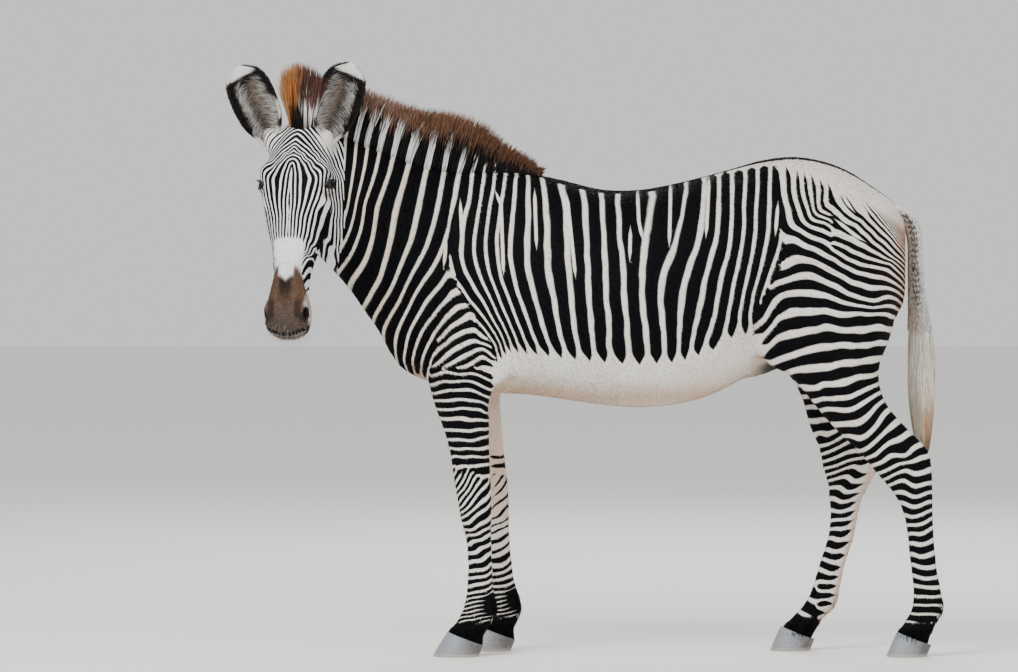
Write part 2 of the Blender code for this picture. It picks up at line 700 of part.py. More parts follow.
# A point inside or beside each piece of flesh, by which it gets its name
SEEDS = {
    "head": in_head(0, 0.30, 0),
    "neck": (0, -0.50, 1.30),
    "trunk": (0, 0.20, 1.00),
    "foreleg_left": (0.127, -0.32, 0.45),
    "foreleg_right": (-0.127, -0.27, 0.45),
    "hind_leg_left": (0.145, 0.95, 0.55),
    "hind_leg_right": (-0.145, 0.80, 0.55),
}
bm.faces.index_update()
for faces in list(islands(bm)):
    centre = sum((f.calc_center_median() * f.calc_area() for f in faces), Vector())
    centre /= sum(f.calc_area() for f in faces)
    if max(v.co.z for f in faces for v in f.verts) < HOOF_FRONT_HEIGHT + 0.02:
        continue
    name = min(SEEDS, key=lambda key: (Vector(SEEDS[key]) - centre).length)
    paint(mesh_object(name, only(bm, faces)), STRIPED, 0.7)
bm.free()
bpy.data.objects.remove(flesh)

for name, (hoof, side) in HOOVES.items():
    paint(new_solid(name, add_hoof, hoof, side), (0.20, 0.20, 0.21), 0.5)

for side, hand in ((1, "left"), (-1, "right")):
    place = in_head(side * EYE_OUT, EYE_DOWN_FACE, EYE_BEHIND_FACE)
    for name, radius in ((f"eye_{hand}", EYE_RADIUS), (f"socket_{hand}", EYE_RADIUS + 2 * GAP)):
        bm = bmesh.new()
        bmesh.ops.create_icosphere(bm, subdivisions=2, radius=radius, matrix=Matrix.Translation(place))
        ball = mesh_object(name, bm)
        if name.startswith("eye"):
            paint(ball, (0.02, 0.012, 0.01), 0.1)
        else:
            hide(ball)
            carve(bpy.data.objects["head"], ball)

tail = new_solid("tail", add_tail)
mane = new_solid("mane", add_mane)
forelock = new_solid("forelock", add_forelock)
ear_left = new_solid("ear_left", add_ear, *LEFT_EAR.values())
ear_right = new_solid("ear_right", add_ear, *RIGHT_EAR.values())
for piece, colour in (
    (tail, (0.55, 0.48, 0.40)),
    (mane, (0.12, 0.08, 0.06)),
    (forelock, (0.22, 0.10, 0.05)),
    (ear_left, STRIPED),
    (ear_right, STRIPED),
):
    paint(piece, colour, 0.8)
    carve(piece, swollen)

for obj in bpy.data.objects:
    obj.data.transform(Matrix.Translation(-Vector(ORIGIN)))
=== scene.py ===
"""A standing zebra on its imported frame: skin, short coat, mane, forelock, ears, eyes, tail and hooves.

Metres. Shapes are worked out about the animal's own midplane, x = 0, with its face towards -Y and its
left side +X, and every finished mesh is then moved onto the frame.
"""

import math
from types import SimpleNamespace

import bmesh
import bpy
import numpy as np
from mathutils import Matrix, Vector
from mathutils.bvhtree import BVHTree


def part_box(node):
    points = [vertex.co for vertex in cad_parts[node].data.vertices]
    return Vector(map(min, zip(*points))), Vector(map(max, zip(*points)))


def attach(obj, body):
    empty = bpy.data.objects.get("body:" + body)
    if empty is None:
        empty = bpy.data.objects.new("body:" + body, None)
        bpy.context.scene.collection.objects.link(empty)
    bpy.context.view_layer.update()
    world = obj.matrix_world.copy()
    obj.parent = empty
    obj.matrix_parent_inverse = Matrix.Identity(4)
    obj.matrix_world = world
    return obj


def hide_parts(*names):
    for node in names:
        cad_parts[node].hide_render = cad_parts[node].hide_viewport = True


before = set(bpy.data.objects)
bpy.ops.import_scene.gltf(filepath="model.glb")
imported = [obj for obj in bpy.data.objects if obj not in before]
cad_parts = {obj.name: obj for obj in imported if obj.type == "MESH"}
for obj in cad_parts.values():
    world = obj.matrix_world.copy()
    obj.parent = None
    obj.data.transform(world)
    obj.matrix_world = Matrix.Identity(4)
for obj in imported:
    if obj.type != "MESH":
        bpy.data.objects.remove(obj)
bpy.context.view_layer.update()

# ---
# Where the animal stands. Its eyes fix the frame: the left eye's ball is a known place in the head, so
# the way from there to the same ball in the frame moves everything that is made below.
POLL = Vector((0.140, -0.848, 1.583))
FACE_TILT = math.radians(18)
FACE_YAW = math.radians(15)
FACE_ROLL = math.radians(0.5)
EYE_PLACE = (0.093, 0.178, -0.026)  # to the left, down the face and out of it
EYE_RADIUS = 0.0235

face_ahead = Vector((math.cos(FACE_YAW), -math.sin(FACE_YAW), 0))
face_roll = Matrix.Rotation(FACE_ROLL, 3, face_ahead)
HEAD_LEFT = face_roll @ Vector((math.sin(FACE_YAW), math.cos(FACE_YAW), 0))
HEAD_DOWN = face_roll @ (face_ahead * math.sin(FACE_TILT) - Vector((0, 0, math.cos(FACE_TILT))))
HEAD_OUT = HEAD_DOWN.cross(HEAD_LEFT).normalized()
HEAD_AXES = np.array((HEAD_LEFT, HEAD_DOWN, HEAD_OUT))


def in_head(left, down, out):
    """A point given in the head's own directions."""
    return POLL + HEAD_LEFT * left + HEAD_DOWN * down + HEAD_OUT * out


def put(name, data):
    """A new object in the scene."""
    made = bpy.data.objects.new(name, data)
    bpy.context.scene.collection.objects.link(made)
    return made


def mesh_from(name, bm):
    mesh = bpy.data.meshes.new(name)
    bm.to_mesh(mesh)
    bm.free()
    return mesh


low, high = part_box("eye_left")
TO_FRAME = (low + high) / 2 - in_head(*EYE_PLACE)

camera = put("camera", bpy.data.cameras.new("camera"))
camera.data.sensor_width = 36.0
camera.data.lens = 36.0 * 22.0 / 3.054
camera.location = Vector((22.0, -0.222, 1.60)) + TO_FRAME
aim = Vector((0.0, -0.222, 0.954)) + TO_FRAME
camera.rotation_euler = (aim - camera.location).to_track_quat("-Z", "Y").to_euler()
camera.data.clip_end = 100.0
bpy.context.scene.camera = camera

# ---
# The studio: one pale floor that rises behind as a soft backdrop, a broad key light high on the
# camera's side, a fill from the front and a rim light behind, and a pale, even world.
studio = bmesh.new()
bmesh.ops.create_grid(studio, x_segments=1, y_segments=1, size=30)
floor = put("floor", mesh_from("floor", studio))
floor_paint = bpy.data.materials.new("floor")
floor_paint.use_nodes = True
floor_look = floor_paint.node_tree.nodes["Principled BSDF"]
floor_look.inputs["Base Color"].default_value = (0.86, 0.85, 0.83, 1)
floor_look.inputs["Roughness"].default_value = 0.9
floor.data.materials.append(floor_paint)

for name, place, size, power in (
    ("key", (6.0, -3.5, 6.5), 4.0, 720.0),
    ("fill", (6.0, 5.0, 3.0), 5.0, 240.0),
    ("rim", (-6.0, 1.0, 5.5), 4.0, 260.0),
):
    lamp = put(name, bpy.data.lights.new(name, "AREA"))
    lamp.data.size = size
    lamp.data.energy = power
    lamp.location = place
    lamp.rotation_euler = (Vector((0, 0, 0.9)) - lamp.location).to_track_quat("-Z", "Y").to_euler()
world = bpy.data.worlds.new("studio")
world.use_nodes = True
world.node_tree.nodes["Background"].inputs["Color"].default_value = (0.90, 0.90, 0.90, 1)
world.node_tree.nodes["Background"].inputs["Strength"].default_value = 0.95
bpy.context.scene.world = world

# ---
# The skin: trunk, neck, head and four legs as one closed surface, laid over the muscles and bones that
# show through it, and lying inside the solid pieces of flesh by the depth of the coat.
COAT_DEPTH = 0.0025
SKIN_GRAIN = 0.0112
SECTION_SIDES = 40
BLEND_ROUNDS = 12
EAR_BASE = (0.045, 0.090, -0.055)
EAR_BASE_REACH = 0.22
EAR_BASE_THICK = 0.037
LEFT_EAR = {"root": (0.120, -0.776, 1.520), "tip": (0.134, -0.690, 1.782), "facing": (0.98, 0.16, -0.05)}
RIGHT_EAR = {"root": (0.096, -0.922, 1.520), "tip": (0.108, -1.037, 1.782), "facing": (0.98, -0.18, -0.05)}

# Trunk, chest to rump: y, level of the widest, top, bottom, half width, fullness above and below
TRUNK = (
    (-0.565, 0.95, 1.06, 0.875, 0.070, 2.0, 2.0), (-0.52, 0.96, 1.16, 0.840, 0.118, 2.0, 2.1),
    (-0.45, 0.98, 1.29, 0.812, 0.160, 1.9, 2.1), (-0.37, 1.00, 1.39, 0.792, 0.188, 1.8, 2.1),
    (-0.28, 1.01, 1.435, 0.782, 0.206, 1.8, 2.1), (-0.18, 1.02, 1.446, 0.778, 0.222, 1.8, 2.1),
    (-0.07, 1.02, 1.427, 0.765, 0.245, 1.9, 2.15), (0.05, 1.02, 1.397, 0.747, 0.268, 2.0, 2.2),
    (0.16, 1.02, 1.394, 0.739, 0.281, 2.05, 2.2), (0.26, 1.03, 1.410, 0.745, 0.284, 2.05, 2.2),
    (0.36, 1.05, 1.434, 0.768, 0.280, 2.05, 2.2), (0.45, 1.08, 1.459, 0.808, 0.268, 2.05, 2.1),
    (0.53, 1.12, 1.482, 0.862, 0.256, 2.05, 2.1), (0.62, 1.16, 1.494, 0.890, 0.250, 2.1, 2.1),
    (0.71, 1.17, 1.483, 0.885, 0.242, 2.1, 2.1), (0.79, 1.16, 1.454, 0.895, 0.222, 2.1, 2.0),
    (0.87, 1.15, 1.404, 0.930, 0.176, 2.0, 2.0), (0.93, 1.15, 1.360, 0.990, 0.118, 2.0, 2.0),
    (0.968, 1.17, 1.310, 1.060, 0.058, 2.0, 2.0),
)

# Neck: crest point, throat point, half width, how far down the widest level is, and its turn to the left
NECK = (
    ((0.0, -0.10, 1.43), (0.0, -0.36, 0.86), 0.180, 0.60, 0),
    ((0.0, -0.20, 1.452), (0.0, -0.47, 0.84), 0.178, 0.62, 0),
    ((0.0, -0.31, 1.458), (0.0, -0.565, 0.885), 0.158, 0.62, 0),
    ((0.0, -0.40, 1.462), (0.0, -0.615, 0.968), 0.136, 0.60, 0),
    ((0.0, -0.48, 1.478), (0.0, -0.660, 1.032), 0.118, 0.57, 0),
    ((0.004, -0.56, 1.508), (0.006, -0.700, 1.090), 0.104, 0.54, 6),
    ((0.013, -0.640, 1.536), (0.022, -0.742, 1.140), 0.095, 0.50, 17),
    ((0.030, -0.715, 1.560), (0.050, -0.782, 1.185), 0.090, 0.48, 34),
    ((0.060, -0.782, 1.578), (0.100, -0.815, 1.225), 0.086, 0.46, 54),
    ((0.105, -0.828, 1.587), (0.160, -0.835, 1.270), 0.080, 0.45, 72),
)

# Head, from the poll to the lips: distance down the face, front, back, half width, level of the widest,
# fullness in front and behind
HEAD = (
    (-0.030, -0.020, -0.100, 0.046, -0.060, 2.0, 2.0), (0.000, 0.004, -0.135, 0.072, -0.065, 2.0, 2.0),
    (0.050, 0.024, -0.175, 0.088, -0.060, 2.1, 2.0), (0.100, 0.036, -0.205, 0.098, -0.045, 2.2, 2.0),
    (0.150, 0.041, -0.228, 0.107, -0.035, 2.3, 1.9), (0.200, 0.041, -0.242, 0.110, -0.040, 2.3, 1.8),
    (0.250, 0.037, -0.242, 0.100, -0.055, 2.3, 1.8), (0.300, 0.031, -0.224, 0.086, -0.060, 2.2, 1.8),
    (0.355, 0.024, -0.184, 0.070, -0.060, 2.2, 1.9), (0.410, 0.018, -0.146, 0.060, -0.055, 2.3, 2.0),
    (0.465, 0.013, -0.122, 0.056, -0.050, 2.4, 2.1), (0.520, 0.009, -0.114, 0.062, -0.045, 2.5, 2.2),
    (0.562, 0.002, -0.116, 0.070, -0.045, 2.5, 2.3), (0.598, -0.010, -0.112, 0.070, -0.050, 2.4, 2.3),
    (0.626, -0.030, -0.100, 0.055, -0.062, 2.3, 2.2), (0.642, -0.054, -0.082, 0.025, -0.068, 2.0, 2.0),
)
# Eggs of bone and muscle on each side of the head: start and end as left, down and out, then how thick
# along the way to the left and how broad
HEAD_MUSCLES = (
    ((0.082, 0.105, -0.002), (0.086, 0.190, 0.004), 0.026, 0.030),  # brow over the eye
    ((0.062, 0.105, -0.150), (0.060, 0.300, -0.130), 0.036, 0.084),  # cheek
    ((0.046, 0.530, -0.020), (0.048, 0.592, -0.042), 0.024, 0.032),  # flare of the nostril
)

# Legs, top to bottom: z, front edge, back edge, half width, distance from the midplane
FORE_LEG = (
    (1.10, -0.410, -0.290, 0.024, 0.130), (1.02, -0.470, -0.250, 0.052, 0.138),
    (0.90, -0.490, -0.235, 0.070, 0.142), (0.82, -0.465, -0.258, 0.068, 0.138),
    (0.762, -0.450, -0.279, 0.062, 0.136), (0.702, -0.428, -0.279, 0.055, 0.134),
    (0.642, -0.408, -0.279, 0.050, 0.132), (0.582, -0.396, -0.277, 0.046, 0.130),
    (0.522, -0.388, -0.274, 0.044, 0.128), (0.462, -0.377, -0.272, 0.046, 0.127),
    (0.417, -0.370, -0.272, 0.045, 0.126), (0.372, -0.358, -0.273, 0.039, 0.125),
    (0.332, -0.350, -0.271, 0.031, 0.124), (0.272, -0.347, -0.269, 0.028, 0.123),
    (0.212, -0.349, -0.267, 0.029, 0.122), (0.165, -0.356, -0.257, 0.035, 0.121),
    (0.132, -0.366, -0.256, 0.038, 0.120), (0.100, -0.384, -0.272, 0.036, 0.120),
    (0.072, -0.404, -0.296, 0.038, 0.120), (0.045, -0.418, -0.300, 0.043, 0.120),
    (0.020, -0.425, -0.305, 0.045, 0.120),
)
HIND_LEG = (
    (1.33, 0.680, 0.860, 0.030, 0.100), (1.25, 0.560, 0.955, 0.082, 0.122), (1.137, 0.515, 0.962, 0.108, 0.130),
    (1.062, 0.505, 0.944, 0.112, 0.134), (0.985, 0.508, 0.919, 0.106, 0.140), (0.918, 0.530, 0.896, 0.097, 0.146),
    (0.852, 0.600, 0.884, 0.085, 0.150), (0.798, 0.650, 0.889, 0.074, 0.152), (0.747, 0.690, 0.912, 0.065, 0.153),
    (0.702, 0.729, 0.950, 0.059, 0.153), (0.657, 0.772, 0.994, 0.053, 0.152), (0.612, 0.820, 1.033, 0.048, 0.150),
    (0.552, 0.869, 1.042, 0.046, 0.146), (0.492, 0.921, 1.044, 0.045, 0.142), (0.432, 0.952, 1.045, 0.039, 0.139),
    (0.372, 0.964, 1.048, 0.034, 0.136), (0.312, 0.970, 1.053, 0.031, 0.134), (0.252, 0.977, 1.060, 0.031, 0.132),
    (0.192, 0.984, 1.072, 0.034, 0.130), (0.140, 0.978, 1.078, 0.039, 0.129), (0.105, 0.958, 1.060, 0.036, 0.128),
    (0.072, 0.938, 1.040, 0.037, 0.128), (0.045, 0.925, 1.030, 0.042, 0.128), (0.020, 0.920, 1.020, 0.044, 0.128),
)
# How far each right leg stands behind its left one, by height
RIGHT_FORE_STEP = (
    (0.0, 0.100), (0.06, 0.092), (0.15, 0.070), (0.30, 0.055), (0.50, 0.050), (0.80, 0.030), (1.0, 0.0),
)
RIGHT_HIND_STEP = (
    (0.0, -0.345), (0.10, -0.325), (0.22, -0.280), (0.34, -0.228), (0.46, -0.198), (0.55, -0.146), (0.65, -0.084),
    (0.75, -0.022), (0.82, 0.0), (1.4, 0.0),
)

# Eggs of muscle where the left limbs join the body: start, end, how thick outwards and how broad
LIMB_MUSCLES = (
    ((0.165, -0.490, 0.930), (0.060, -0.190, 1.440), 0.046, 0.105),  # shoulder blade
    ((0.172, -0.290, 0.800), (0.120, -0.170, 1.250), 0.048, 0.090),  # triceps
    ((0.105, -0.520, 0.860), (0.085, -0.500, 1.110), 0.060, 0.065),  # breast
    ((0.130, 0.430, 1.400), (0.170, 0.830, 1.080), 0.082, 0.120),  # from hip bone to hip
    ((0.060, 0.880, 1.360), (0.148, 0.850, 0.860), 0.070, 0.080),  # hamstrings
    ((0.160, 0.530, 1.330), (0.165, 0.600, 0.850), 0.072, 0.100),  # front of the thigh
)

# Places where the flesh is blended most: centre, reach
BLENDS = (
    ((0, -0.30, 1.15), (0.40, 0.50, 0.55)),  # shoulders
    ((0, 0.70, 1.10), (0.40, 0.55, 0.50)),  # haunches
    ((0, 0.30, 0.95), (0.40, 0.60, 0.45)),  # belly
    ((0.08, -0.76, 1.38), (0.22, 0.20, 0.25)),  # behind the jaw
)


def smooth_rows(rows, per_span):
    """Rows between the given ones, on a Catmull-Rom curve through them."""
    rows = np.array(rows, dtype=float)
    padded = np.vstack([2 * rows[0] - rows[1], rows, 2 * rows[-1] - rows[-2]])
    made = []
    for i in range(1, len(padded) - 2):
        before, start, end, after = padded[i - 1 : i + 3]
        for t in np.linspace(0, 1, per_span, endpoint=False):
            bend = 2 * before - 5 * start + 4 * end - after
            swing = 3 * start - before - 3 * end + after
            made.append(0.5 * (2 * start + (end - before) * t + bend * t**2 + swing * t**3))
    made.append(rows[-1])
    return np.array(made)


def section(centre, across, upward, half_width, rise, drop, full_up=2.0, full_down=2.0):
    """Points round a section whose widest level is at its centre."""
    turn = np.linspace(0, 2 * math.pi, SECTION_SIDES, endpoint=False)
    side, level = np.cos(turn), np.sin(turn)
    power = 2 / np.where(level >= 0, full_up, full_down)
    out = half_width * np.sign(side) * np.abs(side) ** power
    height = np.where(level >= 0, rise, drop) * np.sign(level) * np.abs(level) ** power
    return np.array(centre) + np.outer(out, across) + np.outer(height, upward)


def add_loft(bm, rings):
    """A closed tube through the rings of points: a grid, rolled up along its seam and capped."""
    sides, count = len(rings[0]), len(rings)
    grid = bmesh.ops.create_grid(bm, x_segments=sides, y_segments=count - 1, size=1)["verts"]
    for i, vert in enumerate(grid):
        vert.co = Vector(rings[i // (sides + 1)][i % (sides + 1) % sides])
    faces = list(dict.fromkeys(f for v in grid for f in v.link_faces))
    bmesh.ops.remove_doubles(bm, verts=grid, dist=1e-6)
    rim = list(dict.fromkeys(e for f in faces if f.is_valid for e in f.edges if e.is_boundary))
    bmesh.ops.holes_fill(bm, edges=rim, sides=0)


def add_muscle(bm, start, end, thick, broad, outward=(1, 0, 0)):
    """An egg of muscle or bone from start to end, so thick along outward and so broad across both."""
    start, end = Vector(start), Vector(end)
    along = (end - start).normalized()
    outward = (Vector(outward) - along * along.dot(outward)).normalized()
    sideways = along.cross(outward)
    egg = Matrix((outward * thick, sideways * broad, along * (end - start).length / 2))
    place = Matrix.Translation((start + end) / 2) @ egg.transposed().to_4x4()
    bmesh.ops.create_icosphere(bm, subdivisions=4, radius=1, matrix=place)


def leg_shift(z, side, step):
    """How far back a leg stands at that height."""
    heights, shifts = np.array(step).T
    return np.interp(z, heights, shifts) if side < 0 else 0 * z


def places_of(mesh, kind="co"):
    """The mesh's points, or their normals, as rows of numbers."""
    places = np.empty(len(mesh.vertices) * 3, dtype=np.float32)
    mesh.vertices.foreach_get(kind, places)
    return places.reshape(-1, 3).astype(float)


def relax(mesh, strength, rounds):
    """Moves each point towards the middle of its neighbours, by its own strength."""
    places = places_of(mesh)
    ends = np.empty(len(mesh.edges) * 2, dtype=np.int32)
    mesh.edges.foreach_get("vertices", ends)
    ends = ends.reshape(-1, 2)
    count = np.bincount(ends.ravel(), minlength=len(places))[:, None]
    for _ in range(rounds):
        total = np.zeros_like(places)
        for axis in range(3):
            total[:, axis] = np.bincount(ends[:, 0], places[ends[:, 1], axis], len(places))
            total[:, axis] += np.bincount(ends[:, 1], places[ends[:, 0], axis], len(places))
        places += strength[:, None] * (total / count - places)
    mesh.vertices.foreach_set("co", places.ravel())
    mesh.update()


def ease(value, low_end, high_end):
    """0 at the low end, 1 at the high end and smooth between; the ends may be the other way round."""
    t = np.clip((value - low_end) / (high_end - low_end), 0, 1)
    return t * t * (3 - 2 * t)


def near(places, centre, reach):
    """1 at the centre, falling smoothly to 0 at the reach."""
    away = np.linalg.norm((places - np.array(centre)) / np.array(reach), axis=1)
    return ease(away, 1, 0)


body = bmesh.new()
rings = []
for y, widest, top, bottom, half_width, *fullness in smooth_rows(TRUNK, 5):
    centre, rise, drop = (0, y, widest), top - widest, widest - bottom
    rings.append(section(centre, (1, 0, 0), (0, 0, 1), half_width, rise, drop, *fullness))
add_loft(body, rings)

neck_rows = smooth_rows([(*crest, *throat, *rest) for crest, throat, *rest in NECK], 5)
rings = []
for row in neck_rows:
    crest, throat = row[0:3], row[3:6]
    depth = np.linalg.norm(crest - throat)
    upward = (crest - throat) / depth
    turn = math.radians(row[8])
    across = (math.cos(turn), math.sin(turn), 0)
    centre = crest - upward * depth * row[7]
    rings.append(section(centre, across, upward, row[6], depth * row[7], depth * (1 - row[7]), 1.75))
add_loft(body, rings)

rings = []
for down, front, back, half_width, widest, *fullness in smooth_rows(HEAD, 5):
    centre = in_head(0, down, widest)
    rings.append(section(centre, HEAD_LEFT, HEAD_OUT, half_width, front - widest, widest - back, *fullness))
add_loft(body, rings)
for side in (-1, 1):
    for start, end, thick, broad in HEAD_MUSCLES:
        start = in_head(side * start[0], *start[1:])
        end = in_head(side * end[0], *end[1:])
        add_muscle(body, start, end, thick, broad, HEAD_LEFT)
for side, ear in ((1, LEFT_EAR), (-1, RIGHT_EAR)):
    start = in_head(side * EAR_BASE[0], *EAR_BASE[1:])
    end = Vector(ear["root"]).lerp(ear["tip"], EAR_BASE_REACH)
    add_muscle(body, start, end, EAR_BASE_THICK, EAR_BASE_THICK)

for side in (-1, 1):
    for start, end, thick, broad in LIMB_MUSCLES:
        add_muscle(body, (side * start[0], *start[1:]), (side * end[0], *end[1:]), thick, broad)
    for leg, step in ((FORE_LEG, RIGHT_FORE_STEP), (HIND_LEG, RIGHT_HIND_STEP)):
        rings = []
        for z, front, back, half_width, out in smooth_rows(leg, 4):
            centre = (side * out, (front + back) / 2 + leg_shift(z, side, step), z)
            half_depth = (back - front) / 2
            rings.append(section(centre, (1, 0, 0), (0, -1, 0), half_width, half_depth, half_depth, 2.1, 2.1))
        add_loft(body, rings)
add_muscle(body, (0, 0.385, 0.860), (0, 0.625, 0.905), 0.048, 0.056)  # the sheath under the flank
bmesh.ops.recalc_face_normals(body, faces=body.faces)
skin = put("skin", mesh_from("skin", body))
join = skin.modifiers.new("join", "REMESH")
join.mode = "VOXEL"
join.voxel_size = SKIN_GRAIN
shaped = bpy.data.meshes.new_from_object(skin.evaluated_get(bpy.context.evaluated_depsgraph_get()))
skin.modifiers.clear()
skin.data = shaped
places = places_of(shaped)
blend = np.full(len(places), 0.06)
for centre, reach in BLENDS:
    blend = np.maximum(blend, 0.6 * near(places, centre, reach) ** 0.5)
relax(shaped, blend, BLEND_ROUNDS)

# Finer faces where the skin has finer forms: the head, then the eyes, nostrils and lips, each time halved
EYE_AXIS = np.array((0.87, 0.0, 0.49)) / math.hypot(0.87, 0.49)
EYE_SLIT = np.array((-0.45, 0.52, 0.72))
EYE_SLIT = EYE_SLIT - EYE_AXIS * EYE_SLIT.dot(EYE_AXIS)
EYE_SLIT /= np.linalg.norm(EYE_SLIT)
EYE_UP = np.cross(EYE_SLIT, EYE_AXIS)
EYE_UP *= -np.sign(EYE_UP[1])  # towards the forehead
HALF_SLIT = 0.0212
UPPER_LID = 0.0122
LOWER_LID = 0.0096
NOSTRIL = (0.060, 0.575, -0.026)
MOUTH_CORNER = (0.530, -0.088)
MOUTH_FRONT = (0.641, -0.060)


def head_places(places):
    """The same points as left, down and out in the head."""
    return (places - np.array(POLL)) @ HEAD_AXES.T


def divide(bm, chosen):
    """Halves the chosen faces both ways."""
    edges = list(dict.fromkeys(e for f in chosen for e in f.edges))
    bmesh.ops.subdivide_edges(bm, edges=edges, cuts=1, use_grid_fill=True, smooth=0.0)


def faces_near(bm, spots):
    """Faces with their middle within reach of a spot in the head, on either side of it."""
    bm.faces.ensure_lookup_table()
    middles = head_places(np.array([f.calc_center_median() for f in bm.faces]))
    middles[:, 0] = np.abs(middles[:, 0])
    chosen = np.zeros(len(middles), bool)
    for spot, reach in spots:
        chosen |= np.linalg.norm((middles - np.array(spot)) / np.array(reach), axis=1) < 1
    return [bm.faces[i] for i in np.flatnonzero(chosen)]


bm = bmesh.new()
bm.from_mesh(shaped)
divide(bm, faces_near(bm, [((0, 0.30, -0.06), (0.20, 0.37, 0.21))]))
divide(bm, faces_near(bm, [
    (EYE_PLACE, (0.050, 0.062, 0.062)),
    ((0.060, 0.590, -0.050), (0.060, 0.075, 0.080)),
    ((0.0, 0.620, -0.070), (0.080, 0.060, 0.060)),
]))
divide(bm, faces_near(bm, [
    (EYE_PLACE, (0.036, 0.036, 0.036)),
    (NOSTRIL, (0.030, 0.036, 0.030)),
]))
bmesh.ops.triangulate(bm, faces=[f for f in bm.faces if len(f.verts) > 4])

# The feet end just inside the hooves
HOOF_FRONT_HEIGHT = 0.074
HOOF_HEEL_HEIGHT = 0.034
FORE_HOOF = {"toe": -0.450, "heel": -0.312, "front": -0.404, "back": -0.298, "half_width": 0.054, "out": 0.120}
HIND_HOOF = {"toe": 0.905, "heel": 1.026, "front": 0.938, "back": 1.040, "half_width": 0.050, "out": 0.128}


def placed_hoof(hoof, side, step):
    """The hoof with its lengths moved to where its leg stands."""
    shift = float(leg_shift(HOOF_HEEL_HEIGHT, side, step))
    return {k: v + shift if k in ("toe", "heel", "front", "back") else v for k, v in hoof.items()}


def coronet(hoof):
    """A point on the plane where the hoof ends and hair begins, and that plane's upward normal."""
    fall = (HOOF_FRONT_HEIGHT - HOOF_HEEL_HEIGHT) / (hoof["back"] - hoof["front"])
    return Vector((0, hoof["front"], HOOF_FRONT_HEIGHT)), Vector((0, fall, 1)).normalized()


FEET = {
    f"hoof_{limb}_{hand}": (placed_hoof(hoof, side, step), side)
    for side, hand in ((1, "left"), (-1, "right"))
    for limb, hoof, step in (("fore", FORE_HOOF, RIGHT_FORE_STEP), ("hind", HIND_HOOF, RIGHT_HIND_STEP))
}
for hoof, side in FEET.values():
    point, normal = coronet(hoof)
    middle = Vector((side * hoof["out"], hoof["front"], HOOF_FRONT_HEIGHT))
    faces = [f for f in bm.faces if (f.calc_center_median() - middle).length < 0.16]
    geom = [*dict.fromkeys(v for f in faces for v in f.verts), *dict.fromkeys(e for f in faces for e in f.edges)]
    geom += faces
    inside = point - normal * 0.006
    cut = bmesh.ops.bisect_plane(bm, geom=geom, dist=1e-6, plane_co=inside, plane_no=normal, clear_inner=True)
    rim = [e for e in cut["geom_cut"] if isinstance(e, bmesh.types.BMEdge)]
    bmesh.ops.holes_fill(bm, edges=rim, sides=0)
bm.normal_update()
for vert in bm.verts:
    if vert.co.z > 0.09:
        vert.co -= vert.normal * COAT_DEPTH
bm.to_mesh(shaped)
bm.free()
shaped.update()


def eye_places(head, side):
    """Points as seen by one eye: along its slit, up across it and outwards, in metres from the ball."""
    place = head * (side, 1, 1) - np.array(EYE_PLACE)
    return place @ EYE_SLIT, place @ EYE_UP, place @ EYE_AXIS


def lid_distance(along, up):
    """How far outside the almond between the lids a point lies; negative inside."""
    open_height = np.where(up > 0, UPPER_LID, LOWER_LID) * (1 - (along / HALF_SLIT) ** 2)
    slope = 2 * np.where(up > 0, UPPER_LID, LOWER_LID) * np.abs(along) / HALF_SLIT**2
    beyond = np.abs(up) - open_height
    return beyond / np.sqrt(1 + slope**2)


def segment_distance(down, out, first, second):
    """Distance in the head's side view from a straight line, and how far along it."""
    way = np.array(second) - np.array(first)
    t = ((down - first[0]) * way[0] + (out - first[1]) * way[1]) / way.dot(way)
    t = np.clip(t, 0, 1)
    return np.hypot(down - first[0] - way[0] * t, out - first[1] - way[1] * t), t


